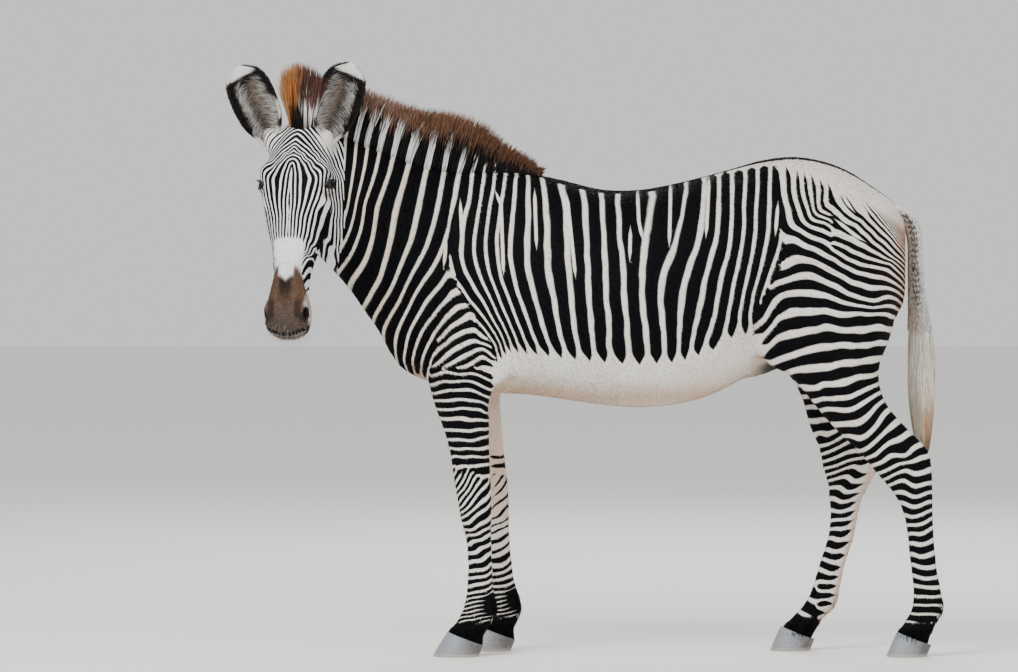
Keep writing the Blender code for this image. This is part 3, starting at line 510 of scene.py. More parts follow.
def sculpt_head(places, normals):
    """Works bone, nostrils and lips into the head. Returns the moved points."""
    head = head_places(places)
    facing = normals @ HEAD_AXES.T
    left, down, out = np.abs(head[:, 0]), head[:, 1], head[:, 2]
    on_head = near(head, (0, 0.30, -0.06), (0.22, 0.42, 0.24)) > 0
    lift = np.zeros(len(places))
    # the ridge of the cheekbone, the hollow over the eye, the hollow behind the nostril and the jaw's edge
    away, t = segment_distance(down, out, (0.200, -0.060), (0.370, -0.058))
    on_side = ease(np.abs(facing[:, 0]), 0.45, 0.85)
    lift += 0.0045 * ease(away, 0.017, 0) * ease(t, 1.0, 0.75) * on_side
    away, t = segment_distance(down, out, (0.245, -0.100), (0.380, -0.085))
    lift -= 0.0040 * ease(away, 0.028, 0) * on_side
    lift -= 0.0050 * ease(np.hypot(down - 0.112, (left - 0.062) * 1.2), 0.030, 0.004) * ease(facing[:, 2], 0.1, 0.6)
    away, t = segment_distance(down, out, (0.42, -0.012), (0.53, -0.052))
    lift -= 0.0050 * ease(away, 0.026, 0) * ease(np.abs(facing[:, 0]), 0.2, 0.7)
    # nasal bones: a flat bridge with soft edges
    bridge = 0.0030 * ease(left, 0.012, 0) * ease(down, 0.22, 0.30) * ease(down, 0.52, 0.44)
    lift -= bridge * ease(facing[:, 2], 0.4, 0.8)
    # lips: the cut of the mouth, the upper lip full above it, the lower lip and chin below it
    mouth, t = segment_distance(down, out, MOUTH_CORNER, MOUTH_FRONT)
    front = ease(down, 0.50, 0.53)
    lift -= 0.0065 * ease(mouth, 0.0055, 0) * front
    lift += 0.0028 * ease(np.abs(mouth - 0.011), 0.009, 0) * front
    lift += 0.0060 * ease(np.hypot(down - 0.600, (out + 0.108) * 1.1), 0.034, 0) * ease(left, 0.06, 0.02)
    # wrinkles over the nostril and above the mouth's corner
    for bend in (0.0, 0.012, 0.023):
        away, t = segment_distance(down, out, (0.515 - bend, -0.040 - bend), (0.530 - bend, -0.080))
        lift -= 0.0011 * ease(away, 0.0045, 0) * on_side
    moved = places + normals * (lift * on_head)[:, None]
    # nostrils: a comma-shaped hollow with a raised rim
    for side in (1, -1):
        spot = head * (side, 1, 1) - np.array(NOSTRIL)
        outside = head[:, 0] * side > 0.02
        turn = math.radians(28)
        tall = spot[:, 1] * math.cos(turn) - spot[:, 2] * math.sin(turn)
        wide = spot[:, 1] * math.sin(turn) + spot[:, 2] * math.cos(turn)
        wide = wide + 9.0 * (tall + 0.006) ** 2 - 0.003
        ring = np.hypot(tall / 0.0235, wide / 0.0085)
        hollow = ease(ring, 1.05, 0.55) * outside * on_head
        rim = ease(np.abs(ring - 1.35), 0.42, 0) * outside * on_head
        into = -(HEAD_AXES[0] * side * 0.80 + HEAD_AXES[2] * 0.42 + HEAD_AXES[1] * 0.22)
        moved += into * (0.017 * hollow)[:, None] + normals * (0.0028 * rim)[:, None]
    return moved


def sculpt_eyes(places):
    """Lays the lids on the eyeballs and takes the skin between them behind the ball."""
    for side in (1, -1):
        along, up, deep = eye_places(head_places(places), side)
        reach = np.hypot(along, up)
        close = (reach < 0.045) & (deep > -0.012)
        far = lid_distance(along, up)
        ball = np.sqrt(np.clip((EYE_RADIUS + 0.0024) ** 2 - np.minimum(reach, 0.0225) ** 2, 0, None))
        lid = ball - np.clip(far - 0.004, 0, None) * 0.30
        hug = ease(far, np.where(up > 0, 0.017, 0.014), 0.0035)
        target = deep * (1 - hug) + lid * hug
        # a fold above the upper lid, a softer one under the lower, and a bag in the inner corner
        fold = np.where(up > 0, 0.0030, 0.0014) * ease(np.abs(far - 0.0085), 0.0035, 0)
        target -= fold * ease(np.abs(along), 0.026, 0.012)
        target += 0.0022 * ease(np.abs(far - 0.0035), 0.0030, 0)
        inside = ease(far, 0.0004, -0.0012)
        hidden = np.sqrt(np.clip((EYE_RADIUS - 0.006) ** 2 - np.minimum(reach, 0.0165) ** 2, 0, None))
        target = target * (1 - inside) + hidden * inside
        change = np.where(close, target - deep, 0.0)
        outward = (EYE_AXIS * (side, 1, 1)) @ HEAD_AXES
        places = places + outward * change[:, None]
        from_ball = places - np.array(in_head(EYE_PLACE[0] * side, *EYE_PLACE[1:]))
        away = np.linalg.norm(from_ball, axis=1)
        sunk = (away < EYE_RADIUS + 0.0018) & (far > 0)
        places = places + from_ball * np.where(sunk, (EYE_RADIUS + 0.0018) / away - 1, 0)[:, None]
    return places


places = sculpt_head(places_of(shaped), places_of(shaped, "normal"))
places = sculpt_eyes(places)
shaped.vertices.foreach_set("co", places.ravel())
shaped.update()

# The markings. Each family of stripes is known along a few rails, straight lines across it: a white
# stripe has a whole number there, and a smooth surface through all its rails gives the numbers between.
# Where two families meet, their waves are added, which forks and ends the stripes as on the real coat.
# Level rails: height, then the number and place of each white stripe from chest to rump
NECK_RAILS = (
    (1.587, {-14: -0.6, -11: -0.433, -8: -0.317, -5: -0.225}),
    (1.468, {-17: -0.715, -14: -0.617, -11: -0.466, -8: -0.329, -5: -0.231}),
    (1.349, {-17: -0.727, -14: -0.653, -11: -0.49, -8: -0.344, -5: -0.246}),
    (1.245, {-17: -0.779, -14: -0.675, -11: -0.514, -9: -0.413, -8: -0.368, -5: -0.258}),
    (1.126, {-16: -0.845, -13: -0.69, -12: -0.609, -11: -0.562, -9: -0.475, -8: -0.416}),
    (1.067, {-12: -0.642, -11: -0.594, -10: -0.547, -9: -0.51, -8: -0.464, -7: -0.408}),
    (1.019, {-11: -0.622, -10: -0.575, -9: -0.533, -8: -0.493, -7: -0.448, -6: -0.406}),
    (0.972, {-10: -0.597, -9: -0.554, -8: -0.518, -7: -0.481, -6: -0.442}),
    (0.924, {-9: -0.562, -8: -0.53, -7: -0.501, -6: -0.467, -5: -0.43, -4: -0.378}),
    (0.877, {-9: -0.557, -8: -0.535, -7: -0.51, -6: -0.483, -5: -0.456, -4: -0.437}),
    (0.829, {-9: -0.542, -8: -0.522, -7: -0.504, -6: -0.486, -5: -0.466}),
)
BARREL_RAILS = (
    (1.468, {-11: -0.466, -8: -0.329, -5: -0.231, -2: -0.127, 1: 0.049, 2: 0.104, 3: 0.208, 4: 0.31, 7: 0.444,
        10: 0.558, 11: 0.592}),
    (1.349, {-11: -0.49, -8: -0.344, -5: -0.246, -2: -0.112, 1: 0.057, 2: 0.101, 3: 0.204, 4: 0.298, 7: 0.441,
        8: 0.477, 9: 0.513, 10: 0.551, 11: 0.59}),
    (1.245, {-9: -0.413, -8: -0.362, -5: -0.258, -2: -0.109, 1: 0.06, 2: 0.108, 3: 0.184, 4: 0.274, 7: 0.435,
        10: 0.542, 11: 0.585}),
    (1.126, {-10: -0.405, -9: -0.38, -8: -0.338, -5: -0.243, -2: -0.1, 1: 0.066, 4: 0.233, 7: 0.405, 10: 0.515,
        11: 0.545}),
    (1.067, {-10: -0.368, -9: -0.341, -8: -0.302, -5: -0.222, -2: -0.088, 1: 0.066, 4: 0.227, 7: 0.396, 10: 0.5,
        11: 0.526}),
    (1.007, {-10: -0.32, -9: -0.29, -8: -0.27, -5: -0.198, -2: -0.079, 1: 0.075, 4: 0.233, 7: 0.384, 10: 0.494}),
    (0.933, {-10: -0.264, -9: -0.249, -8: -0.234, -5: -0.168, -2: -0.061, 1: 0.075, 4: 0.239, 7: 0.361, 10: 0.509}),
)
HIP_RAILS = (
    (1.447, {-5: 0.591, -6: 0.624, -7: 0.649, -8: 0.668, -9: 0.688, -10: 0.71, -12: 0.747}),
    (1.394, {-5: 0.596, -6: 0.625, -7: 0.65, -8: 0.674, -9: 0.698, -10: 0.722, -12: 0.765}),
    (1.364, {-5: 0.599, -6: 0.63, -7: 0.656, -8: 0.678, -9: 0.698, -10: 0.719, -12: 0.779}),
    (1.334, {-5: 0.607, -6: 0.639, -7: 0.667, -8: 0.683, -9: 0.704}),
)
# Lines: the number of each white stripe, then places and heights along it, over the rump's top
RUMP_LINES = (
    (-7, ((0.732, 1.268), (0.756, 1.263), (0.786, 1.25), (0.821, 1.233), (0.866, 1.208), (0.905, 1.188))),
    (-8, ((0.735, 1.343), (0.759, 1.324), (0.803, 1.294), (0.84, 1.261), (0.873, 1.229), (0.911, 1.2))),
    (-9, ((0.74, 1.424), (0.749, 1.391), (0.759, 1.361), (0.776, 1.334), (0.808, 1.31), (0.846, 1.28), (0.873, 1.253),
        (0.905, 1.226), (0.932, 1.199))),
    (-10, ((0.781, 1.405), (0.797, 1.375), (0.813, 1.348), (0.83, 1.326), (0.857, 1.299), (0.886, 1.27),
        (0.916, 1.24), (0.943, 1.21))),
    (-11, ((0.813, 1.391), (0.83, 1.364), (0.851, 1.334), (0.873, 1.307), (0.9, 1.278), (0.924, 1.25),
        (0.946, 1.222))),
    (-12, ((0.831, 1.38), (0.851, 1.353), (0.873, 1.326), (0.894, 1.299), (0.92, 1.266), (0.943, 1.236))),
    (-13, ((0.846, 1.372), (0.867, 1.345), (0.889, 1.318), (0.911, 1.288), (0.93, 1.264))),
    (-14, ((0.859, 1.364), (0.884, 1.334), (0.908, 1.305), (0.93, 1.277))),
    (-15, ((0.874, 1.353), (0.9, 1.324), (0.924, 1.294))),
    (-16, ((0.889, 1.343), (0.913, 1.315), (0.935, 1.285))),
    (-17, ((0.903, 1.334), (0.924, 1.307), (0.942, 1.281))),
    (-18, ((0.916, 1.324), (0.935, 1.297), (0.949, 1.275))),
)
# Upright rails: place, the first number, and the heights of the white stripes in order
SHOULDER_UPRIGHTS = (
    (-0.427, 0, (1.114, 1.047, 0.994, 0.953, 0.926, 0.884)),
    (-0.409, 0, (1.135, 1.066, 1.016, 0.973, 0.939, 0.902, 0.872)),
    (-0.392, 0, (1.142, 1.084, 1.031, 0.989, 0.954, 0.915, 0.879)),
    (-0.374, 2, (1.046, 1.0, 0.963, 0.926, 0.89, 0.864)),
    (-0.356, 2, (1.048, 1.01, 0.972, 0.935, 0.9, 0.868)),
    (-0.338, 3, (1.025, 0.976, 0.943, 0.909, 0.876)),
    (-0.32, 3, (1.009, 0.977, 0.945, 0.917, 0.888)),
    (-0.302, 4, (0.957, 0.938, 0.922, 0.898, 0.866)),
    (-0.267, 4, (0.944, 0.923, 0.896, 0.881, 0.853)),
)
HIP_UPRIGHTS = (
    (0.54, -1, (1.015, 0.966)),
    (0.575, -1, (1.07, 1.01, 0.955)),
    (0.598, -4, (1.248, 1.172, 1.125, 1.086, 1.022, 0.96, 0.894)),
    (0.625, -5, (1.284, 1.25, 1.185, 1.134, 1.089, 1.033, 0.968, 0.905)),
    (0.643, -5, (1.274, 1.238, 1.19, 1.14, 1.09, 1.033, 0.972, 0.912, 0.862, 0.806, 0.76)),
    (0.661, -6, (1.293, 1.262, 1.226, 1.187, 1.141, 1.09, 1.034, 0.975)),
    (0.679, -7, (1.308, 1.284, 1.253, 1.22, 1.182, 1.138, 1.088, 1.034, 0.977, 0.922, 0.864, 0.804, 0.765, 0.724,
        0.685, 0.649, 0.62)),
    (0.714, -7, (1.297, 1.271, 1.241, 1.203, 1.166, 1.124, 1.077, 1.032, 0.982, 0.928, 0.868, 0.812, 0.77, 0.736,
        0.69, 0.649, 0.618)),
)
RUMP_UPRIGHTS = (
    (0.732, -6, (1.24, 1.22, 1.194, 1.156, 1.115, 1.075, 1.032, 0.984, 0.93, 0.87, 0.816, 0.774, 0.742, 0.694, 0.649,
        0.617)),
    (0.756, -6, (1.233, 1.206, 1.179, 1.142, 1.104, 1.067, 1.026, 0.98, 0.932, 0.876, 0.82, 0.774, 0.741, 0.696,
        0.656, 0.626)),
    (0.786, -6, (1.22, 1.189, 1.162, 1.126, 1.086, 1.058, 1.026, 0.978, 0.933, 0.88, 0.828, 0.778, 0.742, 0.699,
        0.662, 0.632)),
    (0.821, -6, (1.203, 1.175, 1.148, 1.113, 1.073, 1.05, 1.027, 0.978, 0.933, 0.885, 0.837, 0.792, 0.754, 0.706,
        0.655, 0.617)),
    (0.866, -6, (1.185, 1.165, 1.138, 1.104, 1.066, 1.046, 1.026, 0.984, 0.936, 0.891, 0.843, 0.813, 0.783, 0.745,
        0.688, 0.643, 0.606, 0.574)),
    (0.911, -6, (1.174, 1.149, 1.124, 1.1, 1.075, 1.049, 1.021, 0.978, 0.939, 0.896, 0.864, 0.834, 0.804, 0.774,
        0.742, 0.685, 0.642, 0.6, 0.562)),
)
HINDLEG_UPRIGHTS = (
    (0.958, 11, (0.604, 0.582, 0.56, 0.528, 0.492, 0.458, 0.425, 0.392, 0.362, 0.333, 0.297, 0.27, 0.244, 0.218,
        0.192)),
    (0.979, 11, (0.621, 0.588, 0.55, 0.515, 0.481, 0.45, 0.42, 0.395, 0.369, 0.341, 0.307, 0.277, 0.246, 0.214, 0.184,
        0.155)),
    (1.0, 11, (0.635, 0.595, 0.55, 0.514, 0.483, 0.453, 0.425, 0.397, 0.368, 0.336, 0.3, 0.27, 0.24, 0.212, 0.181,
        0.156)),
    (1.02, 11, (0.64, 0.599, 0.557, 0.519, 0.49, 0.461, 0.432, 0.402, 0.375, 0.34, 0.303, 0.267, 0.234, 0.208, 0.181,
        0.154)),
    (1.038, 11, (0.643, 0.603, 0.562, 0.522, 0.493, 0.466, 0.44, 0.415, 0.385, 0.348, 0.308, 0.27, 0.236, 0.208, 0.18,
        0.156)),
)
FOREARM_UPRIGHTS = (
    (-0.445, 7, (0.844, 0.817, 0.79, 0.766, 0.742)),
    (-0.409, 7, (0.853, 0.825, 0.795, 0.768, 0.742, 0.712, 0.68, 0.651, 0.623, 0.598)),
    (-0.374, 7, (0.847, 0.826, 0.801, 0.771, 0.743, 0.713, 0.676, 0.649, 0.622, 0.599, 0.566, 0.532, 0.5)),
    (-0.338, 7, (0.849, 0.827, 0.8, 0.77, 0.743, 0.712, 0.676, 0.649, 0.624, 0.601, 0.572, 0.541, 0.513)),
    (-0.302, 7, (0.838, 0.812, 0.785, 0.76, 0.736, 0.708, 0.68, 0.656, 0.625, 0.598, 0.575, 0.542, 0.506)),
    (-0.27, 7, (0.822, 0.797, 0.772, 0.748, 0.724, 0.707, 0.684, 0.663, 0.63, 0.6, 0.577, 0.544, 0.504)),
)
CANNON_UPRIGHTS = (
    (-0.374, 13, (0.532, 0.505, 0.483, 0.461, 0.442, 0.426, 0.409, 0.389, 0.37, 0.345, 0.317, 0.294, 0.268, 0.247,
        0.228, 0.205, 0.182, 0.164, 0.15, 0.137, 0.125, 0.113, 0.101)),
    (-0.338, 15, (0.541, 0.513, 0.483, 0.458, 0.435, 0.406, 0.38, 0.364, 0.338, 0.306, 0.281, 0.256, 0.232, 0.21,
        0.19, 0.174, 0.16, 0.147, 0.135, 0.123, 0.111, 0.099)),
    (-0.297, 17, (0.543, 0.504, 0.47, 0.438, 0.402, 0.379, 0.359, 0.327, 0.298, 0.265, 0.24, 0.221, 0.2, 0.183, 0.168,
        0.155, 0.143, 0.131, 0.119, 0.107)),
)
PLATE_GIVE = 2e-5  # how far the plates may pass a rail's numbers by, so that they bend smoothly
# Where barrel and hip meet: place and height
HIP_BORDER = (
    (0.500, 0.60), (0.515, 0.919), (0.500, 0.963), (0.509, 1.014), (0.533, 1.076), (0.565, 1.136),
    (0.589, 1.201), (0.593, 1.262), (0.581, 1.320), (0.574, 1.483),
)
# Short white streaks in the black between stripes: places and heights along each, on the left side
STREAKS = (
    ((-0.410, 1.262), (-0.412, 1.205), (-0.418, 1.158)),  # the stem over the shoulder's fork
    ((-0.265, 1.395), (-0.246, 1.350), (-0.238, 1.140)),
    ((-0.368, 1.368), (-0.360, 1.200)),
    ((-0.146, 1.398), (-0.140, 1.215)),
    ((-0.050, 1.385), (-0.024, 1.130)),
    ((0.139, 1.290), (0.136, 1.180)),
    ((0.161, 1.400), (0.164, 1.300), (0.176, 1.240)),
    ((0.261, 1.420), (0.253, 1.225)),
    ((0.376, 1.438), (0.362, 1.250)),
    ((0.578, 1.362), (0.568, 1.255)),
    ((0.759, 1.418), (0.770, 1.383), (0.786, 1.353), (0.808, 1.326)),
    ((0.800, 1.397), (0.811, 1.372), (0.827, 1.348), (0.857, 1.302)),
    ((0.743, 1.310), (0.776, 1.284), (0.808, 1.259), (0.840, 1.239)),
)
# The foot of the white band beside the line down the back, over the rump: place and height
RUMP_TOP = (
    (0.550, 1.500), (0.630, 1.467), (0.678, 1.456), (0.729, 1.429), (0.773, 1.407), (0.819, 1.386),
    (0.862, 1.367), (0.924, 1.329), (0.951, 1.307), (1.000, 1.270),
)
# The top of the belly's white along the barrel: place and height
BELLY_LINE = (
    (-0.60, 0.86), (-0.45, 0.80), (-0.30, 0.82), (-0.22, 0.892), (-0.10, 0.878), (0.05, 0.864), (0.15, 0.856),
    (0.28, 0.864), (0.38, 0.897), (0.46, 0.950), (0.52, 0.940), (0.56, 0.890), (0.60, 0.80), (0.80, 0.70),
)


def level(rails):
    """Samples of a family, as rows of number, place and height."""
    return [(n, y, z) for z, knots in rails for n, y in knots.items()]


def upright(rails):
    return [(first + i, y, z) for y, first, heights in rails for i, z in enumerate(heights)]


def lines(drawn):
    return [(n, y, z) for n, line in drawn for y, z in line]


def plate_kernel(places, knots):
    square = ((places[:, None, :] - knots[None, :, :]) ** 2).sum(axis=2)
    return 0.5 * square * np.log(square + 1e-12)


def count_family(samples, y, z, where):
    """The stripes' number at each place that counts, from a thin plate bent through the samples."""
    samples = np.array(samples)
    knots, many = samples[:, 1:], len(samples)
    system = np.zeros((many + 3, many + 3))
    system[:many, :many] = plate_kernel(knots, knots) + PLATE_GIVE * np.eye(many)
    system[:many, many:] = np.column_stack((np.ones(many), knots))
    system[many:, :many] = system[:many, many:].T
    weights = np.linalg.solve(system, np.append(samples[:, 0], (0, 0, 0)))
    number = np.zeros(len(y))
    places = np.column_stack((y, z))[where]
    flat = np.column_stack((np.ones(len(places)), places)) @ weights[many:]
    number[where] = plate_kernel(places, knots) @ weights[:many] + flat
    return number


def leg_share(z, y, table, side, step):
    """How far back across the leg a place lies, from 0 at its front edge to 1 at its back one."""
    rows = np.array(table)[::-1]
    front = np.interp(z, rows[:, 0], rows[:, 1])
    back = np.interp(z, rows[:, 0], rows[:, 2])
    return (y - np.where(side < 0, leg_shift(z, -1, step), 0) - front) / (back - front)


def streak_places(y, z):
    """For every short streak: the distance across from its line, and the distance beyond its ends."""
    across, beyond = [], []
    for line in STREAKS:
        line = np.array(line)
        lengths = np.hypot(*np.diff(line, axis=0).T)
        run, best = 0.0, np.full(len(y), 9.0)
        side_of, along = np.zeros(len(y)), np.zeros(len(y))
        for (y0, z0), (y1, z1), length in zip(line, line[1:], lengths):
            t = ((y - y0) * (y1 - y0) + (z - z0) * (z1 - z0)) / length**2
            held = np.clip(t, 0, 1)
            away = np.hypot(y - y0 - (y1 - y0) * held, z - z0 - (z1 - z0) * held)
            nearer = away < best
            signed = ((y - y0) * (z1 - z0) - (z - z0) * (y1 - y0)) / length
            side_of = np.where(nearer, signed, side_of)
            along = np.where(nearer, run + t * length, along)
            best = np.minimum(best, away)
            run += length
        across.append(side_of)
        beyond.append(np.abs(along - run / 2) - run / 2)
    return np.array(across), np.array(beyond)


# The face's white lines: number, then places across and down it, seen a little from its left
FACE_LINES = (
    (0, ((-0.012, 0.135), (-0.008, 0.154), (-0.006, 0.201), (-0.003, 0.232), (-0.002, 0.264), (-0.002, 0.28),
        (-0.001, 0.327), (0, 0.359))),
    (1, ((-0.014, 0.121), (0, 0.141), (0.005, 0.169), (0.007, 0.201), (0.009, 0.232), (0.009, 0.264), (0.008, 0.28),
        (0.009, 0.327), (0.009, 0.359))),
    (2, ((-0.015, 0.108), (0.004, 0.117), (0.013, 0.138), (0.02, 0.169), (0.022, 0.201), (0.024, 0.232),
        (0.022, 0.264), (0.02, 0.28), (0.019, 0.327), (0.018, 0.359))),
    (3, ((-0.013, 0.094), (0.013, 0.109), (0.034, 0.138), (0.049, 0.169), (0.046, 0.201), (0.042, 0.232),
        (0.036, 0.264), (0.032, 0.286), (0.031, 0.327), (0.028, 0.359))),
    (4, ((-0.01, 0.081), (0.016, 0.098), (0.037, 0.119), (0.05, 0.139), (0.069, 0.169), (0.066, 0.201), (0.06, 0.232),
        (0.051, 0.264), (0.045, 0.286), (0.042, 0.327), (0.038, 0.359))),
    (5, ((-0.01, 0.068), (0.014, 0.09), (0.034, 0.109), (0.059, 0.134), (0.081, 0.157), (0.081, 0.201),
        (0.074, 0.232), (0.064, 0.264), (0.06, 0.283), (0.055, 0.327), (0.049, 0.359), (0.042, 0.39))),
    (6, ((-0.01, 0.058), (0.017, 0.078), (0.046, 0.1), (0.07, 0.121), (0.094, 0.147), (0.092, 0.22), (0.083, 0.248),
        (0.076, 0.267), (0.067, 0.327), (0.06, 0.359), (0.05, 0.39))),
    (7, ((-0.009, 0.04), (0.013, 0.059), (0.039, 0.078), (0.062, 0.097), (0.082, 0.116), (0.104, 0.138),
        (0.112, 0.223), (0.099, 0.264), (0.093, 0.283), (0.083, 0.327), (0.073, 0.359), (0.059, 0.39))),
    (8, ((-0.009, 0.023), (0.01, 0.034), (0.032, 0.056), (0.055, 0.081), (0.072, 0.1), (0.088, 0.113), (0.108, 0.13),
        (0.116, 0.267), (0.111, 0.304), (0.095, 0.338), (0.076, 0.367), (0.054, 0.4))),
    (9, ((-0.009, 0.009), (0.013, 0.018), (0.037, 0.04), (0.06, 0.068), (0.075, 0.084), (0.094, 0.103),
        (0.113, 0.127), (0.118, 0.163), (0.124, 0.201), (0.128, 0.267), (0.129, 0.321), (0.116, 0.323), (0.106, 0.35),
        (0.087, 0.375), (0.068, 0.399), (0.051, 0.422), (0.128, 0.359), (0.131, 0.384))),
    (10, ((0.012, 0.004), (0.036, 0.023), (0.059, 0.05), (0.077, 0.072), (0.099, 0.097), (0.119, 0.125),
        (0.128, 0.163), (0.134, 0.201), (0.136, 0.258), (0.136, 0.321), (0.137, 0.374), (0.108, 0.379),
        (0.095, 0.397), (0.08, 0.422))),
    (11, ((0.023, -0.006), (0.05, 0.021), (0.069, 0.043), (0.091, 0.072), (0.113, 0.106), (0.137, 0.163),
        (0.144, 0.217), (0.146, 0.264), (0.093, 0.428), (0.071, 0.46))),
    (12, ((0.068, 0.012), (0.093, 0.046), (0.118, 0.091), (0.146, 0.163), (0.153, 0.217), (0.096, 0.472),
        (0.073, 0.497))),
)
FACE_TURN = 0.233  # how much a place's depth moves it across, seen from there
FACE_SCALE = 4.0  # brings the face's places to the size that the plates give to


def face_count(head, where):
    """The number of the fine stripes of the face: arches over the brow, legs down the nose and cheeks."""
    across = np.abs(head[:, 0]) - FACE_TURN * head[:, 2]
    samples = [(n, u * FACE_SCALE, down * FACE_SCALE) for n, line in FACE_LINES for u, down in line]
    return count_family(samples, across * FACE_SCALE, head[:, 1] * FACE_SCALE, where)


# The share of white in the stripes of each part
TRUNK_WHITE, NECK_WHITE, SHOULDER_WHITE, RUMP_WHITE, THIGH_WHITE = 0.29, 0.255, 0.40, 0.42, 0.37
FOREARM_WHITE, CANNON_WHITE, FACE_WHITE = 0.29, 0.40, 0.37
# The colours of the hair
WHITE_HAIR, BLACK_HAIR = (0.80, 0.765, 0.715), (0.0026, 0.0026, 0.0034)
FACE_WHITE_HAIR, FACE_BLACK_HAIR = (0.87, 0.875, 0.885), (0.004, 0.004, 0.006)
NECK_CREAM = (0.66, 0.555, 0.45)
# the belly's tan is partly its own colour and partly painted shade under the body
BELLY_WHITE, BELLY_TAN_AND_SHADE = (0.86, 0.84, 0.80), (0.62, 0.40, 0.25)
INNER_LEG_TAN = (0.66, 0.42, 0.28)
BUTTOCK_TAN, BUTTOCK_BLACK = (0.60, 0.34, 0.20), (0.016, 0.006, 0.005)
BACK_LINE_BLACK = (0.012, 0.008, 0.008)
EAR_ROOT_GREY = (0.50, 0.465, 0.42)
SHEATH_GREY, SHEATH_BLACK = (0.085, 0.070, 0.065), (0.035, 0.028, 0.026)
MUZZLE_PALE = (0.52, 0.49, 0.46)
NOSE_BROWNS = ((0.165, 0.097, 0.060), (0.066, 0.041, 0.032))
NOSE_GREYS = ((0.115, 0.092, 0.076), (0.040, 0.031, 0.028))
NOSE_MIDDLE, OVER_NOSTRIL = (0.016, 0.012, 0.012), (0.030, 0.020, 0.017)
LIP_GREYS, MOUTH_BLACK = ((0.27, 0.245, 0.225), (0.16, 0.14, 0.13)), (0.014, 0.010, 0.009)
NOSTRIL_BLACKS = ((0.018, 0.015, 0.015), (0.014, 0.012, 0.012))
EYE_BAG_BROWN = (0.40, 0.285, 0.21)
EYE_EDGE_BLACKS = ((0.014, 0.011, 0.010), (0.012, 0.010, 0.009))


def blend(first, second, share):
    """Colours between two others, by each point's share of the second."""
    share = np.clip(share, 0, 1)[..., None]
    return np.asarray(first) * (1 - share) + np.asarray(second) * share


def take_places(places, normals):
    """What the markings ask of each point: its place on the body, in the head and across the leg."""
    at = SimpleNamespace(places=places, normals=normals, head=head_places(places), side=np.sign(places[:, 0]))
    at.x, at.y, at.z = places.T
    at.left, at.down, at.out = np.abs(at.head[:, 0]), at.head[:, 1], at.head[:, 2]
    at.left_head = at.head * np.where(at.head[:, :1] > 0, (1, 1, 1), (-1, 1, 1))
    at.behind_face = np.interp(at.down, *np.array(HEAD)[:, :2].T) - at.out
    at.fore, at.hind = at.y < 0.1, at.y >= 0.1
    at.inner = ease(normals[:, 0] * at.side, 0.15, -0.55)
    at.fore_share = leg_share(at.z, at.y, FORE_LEG, at.side, RIGHT_FORE_STEP)
    at.hind_share = leg_share(at.z, at.y, HIND_LEG, at.side, RIGHT_HIND_STEP)
    return at


def count_stripes(at):
    """The number of each of the body's families. The right legs' stripes stand where those legs do."""
    x, y, z = at.x, at.y, at.z
    shift = leg_shift(z, -1, RIGHT_FORE_STEP) * at.fore + leg_shift(z, -1, RIGHT_HIND_STEP) * at.hind
    level_y = y - np.where(at.side < 0, shift, 0)
    families = {
        "neck": (level(NECK_RAILS), (y < -0.20) & (z > 0.75), 0),
        "barrel": (level(BARREL_RAILS), (y > -0.50) & (y < 0.66) & (z > 0.65), 0.03),
        "shoulder": (upright(SHOULDER_UPRIGHTS), (y > -0.50) & (y < -0.18) & (z < 1.20) & (z > 0.78), 0),
        "hip": (level(HIP_RAILS) + upright(HIP_UPRIGHTS), (y > 0.44) & (y < 0.80), 0.03),
        "rump": (upright(RUMP_UPRIGHTS) + upright(HINDLEG_UPRIGHTS) + lines(RUMP_LINES), y > 0.44, 0.05),
        "forearm": (upright(FOREARM_UPRIGHTS), at.fore & (z < 0.92), 0.09),
        "cannon": (upright(CANNON_UPRIGHTS), at.fore & (z < 0.60), 0.18),
    }
    swaying = np.sin(61 * y + 2.5 * np.sin(23 * z + 31 * x)) * np.sin(47 * z + 2.0 * np.sin(19 * y))
    return {
        name: count_family(samples, level_y, z, where) + sway * swaying
        for name, (samples, where, sway) in families.items()
    }


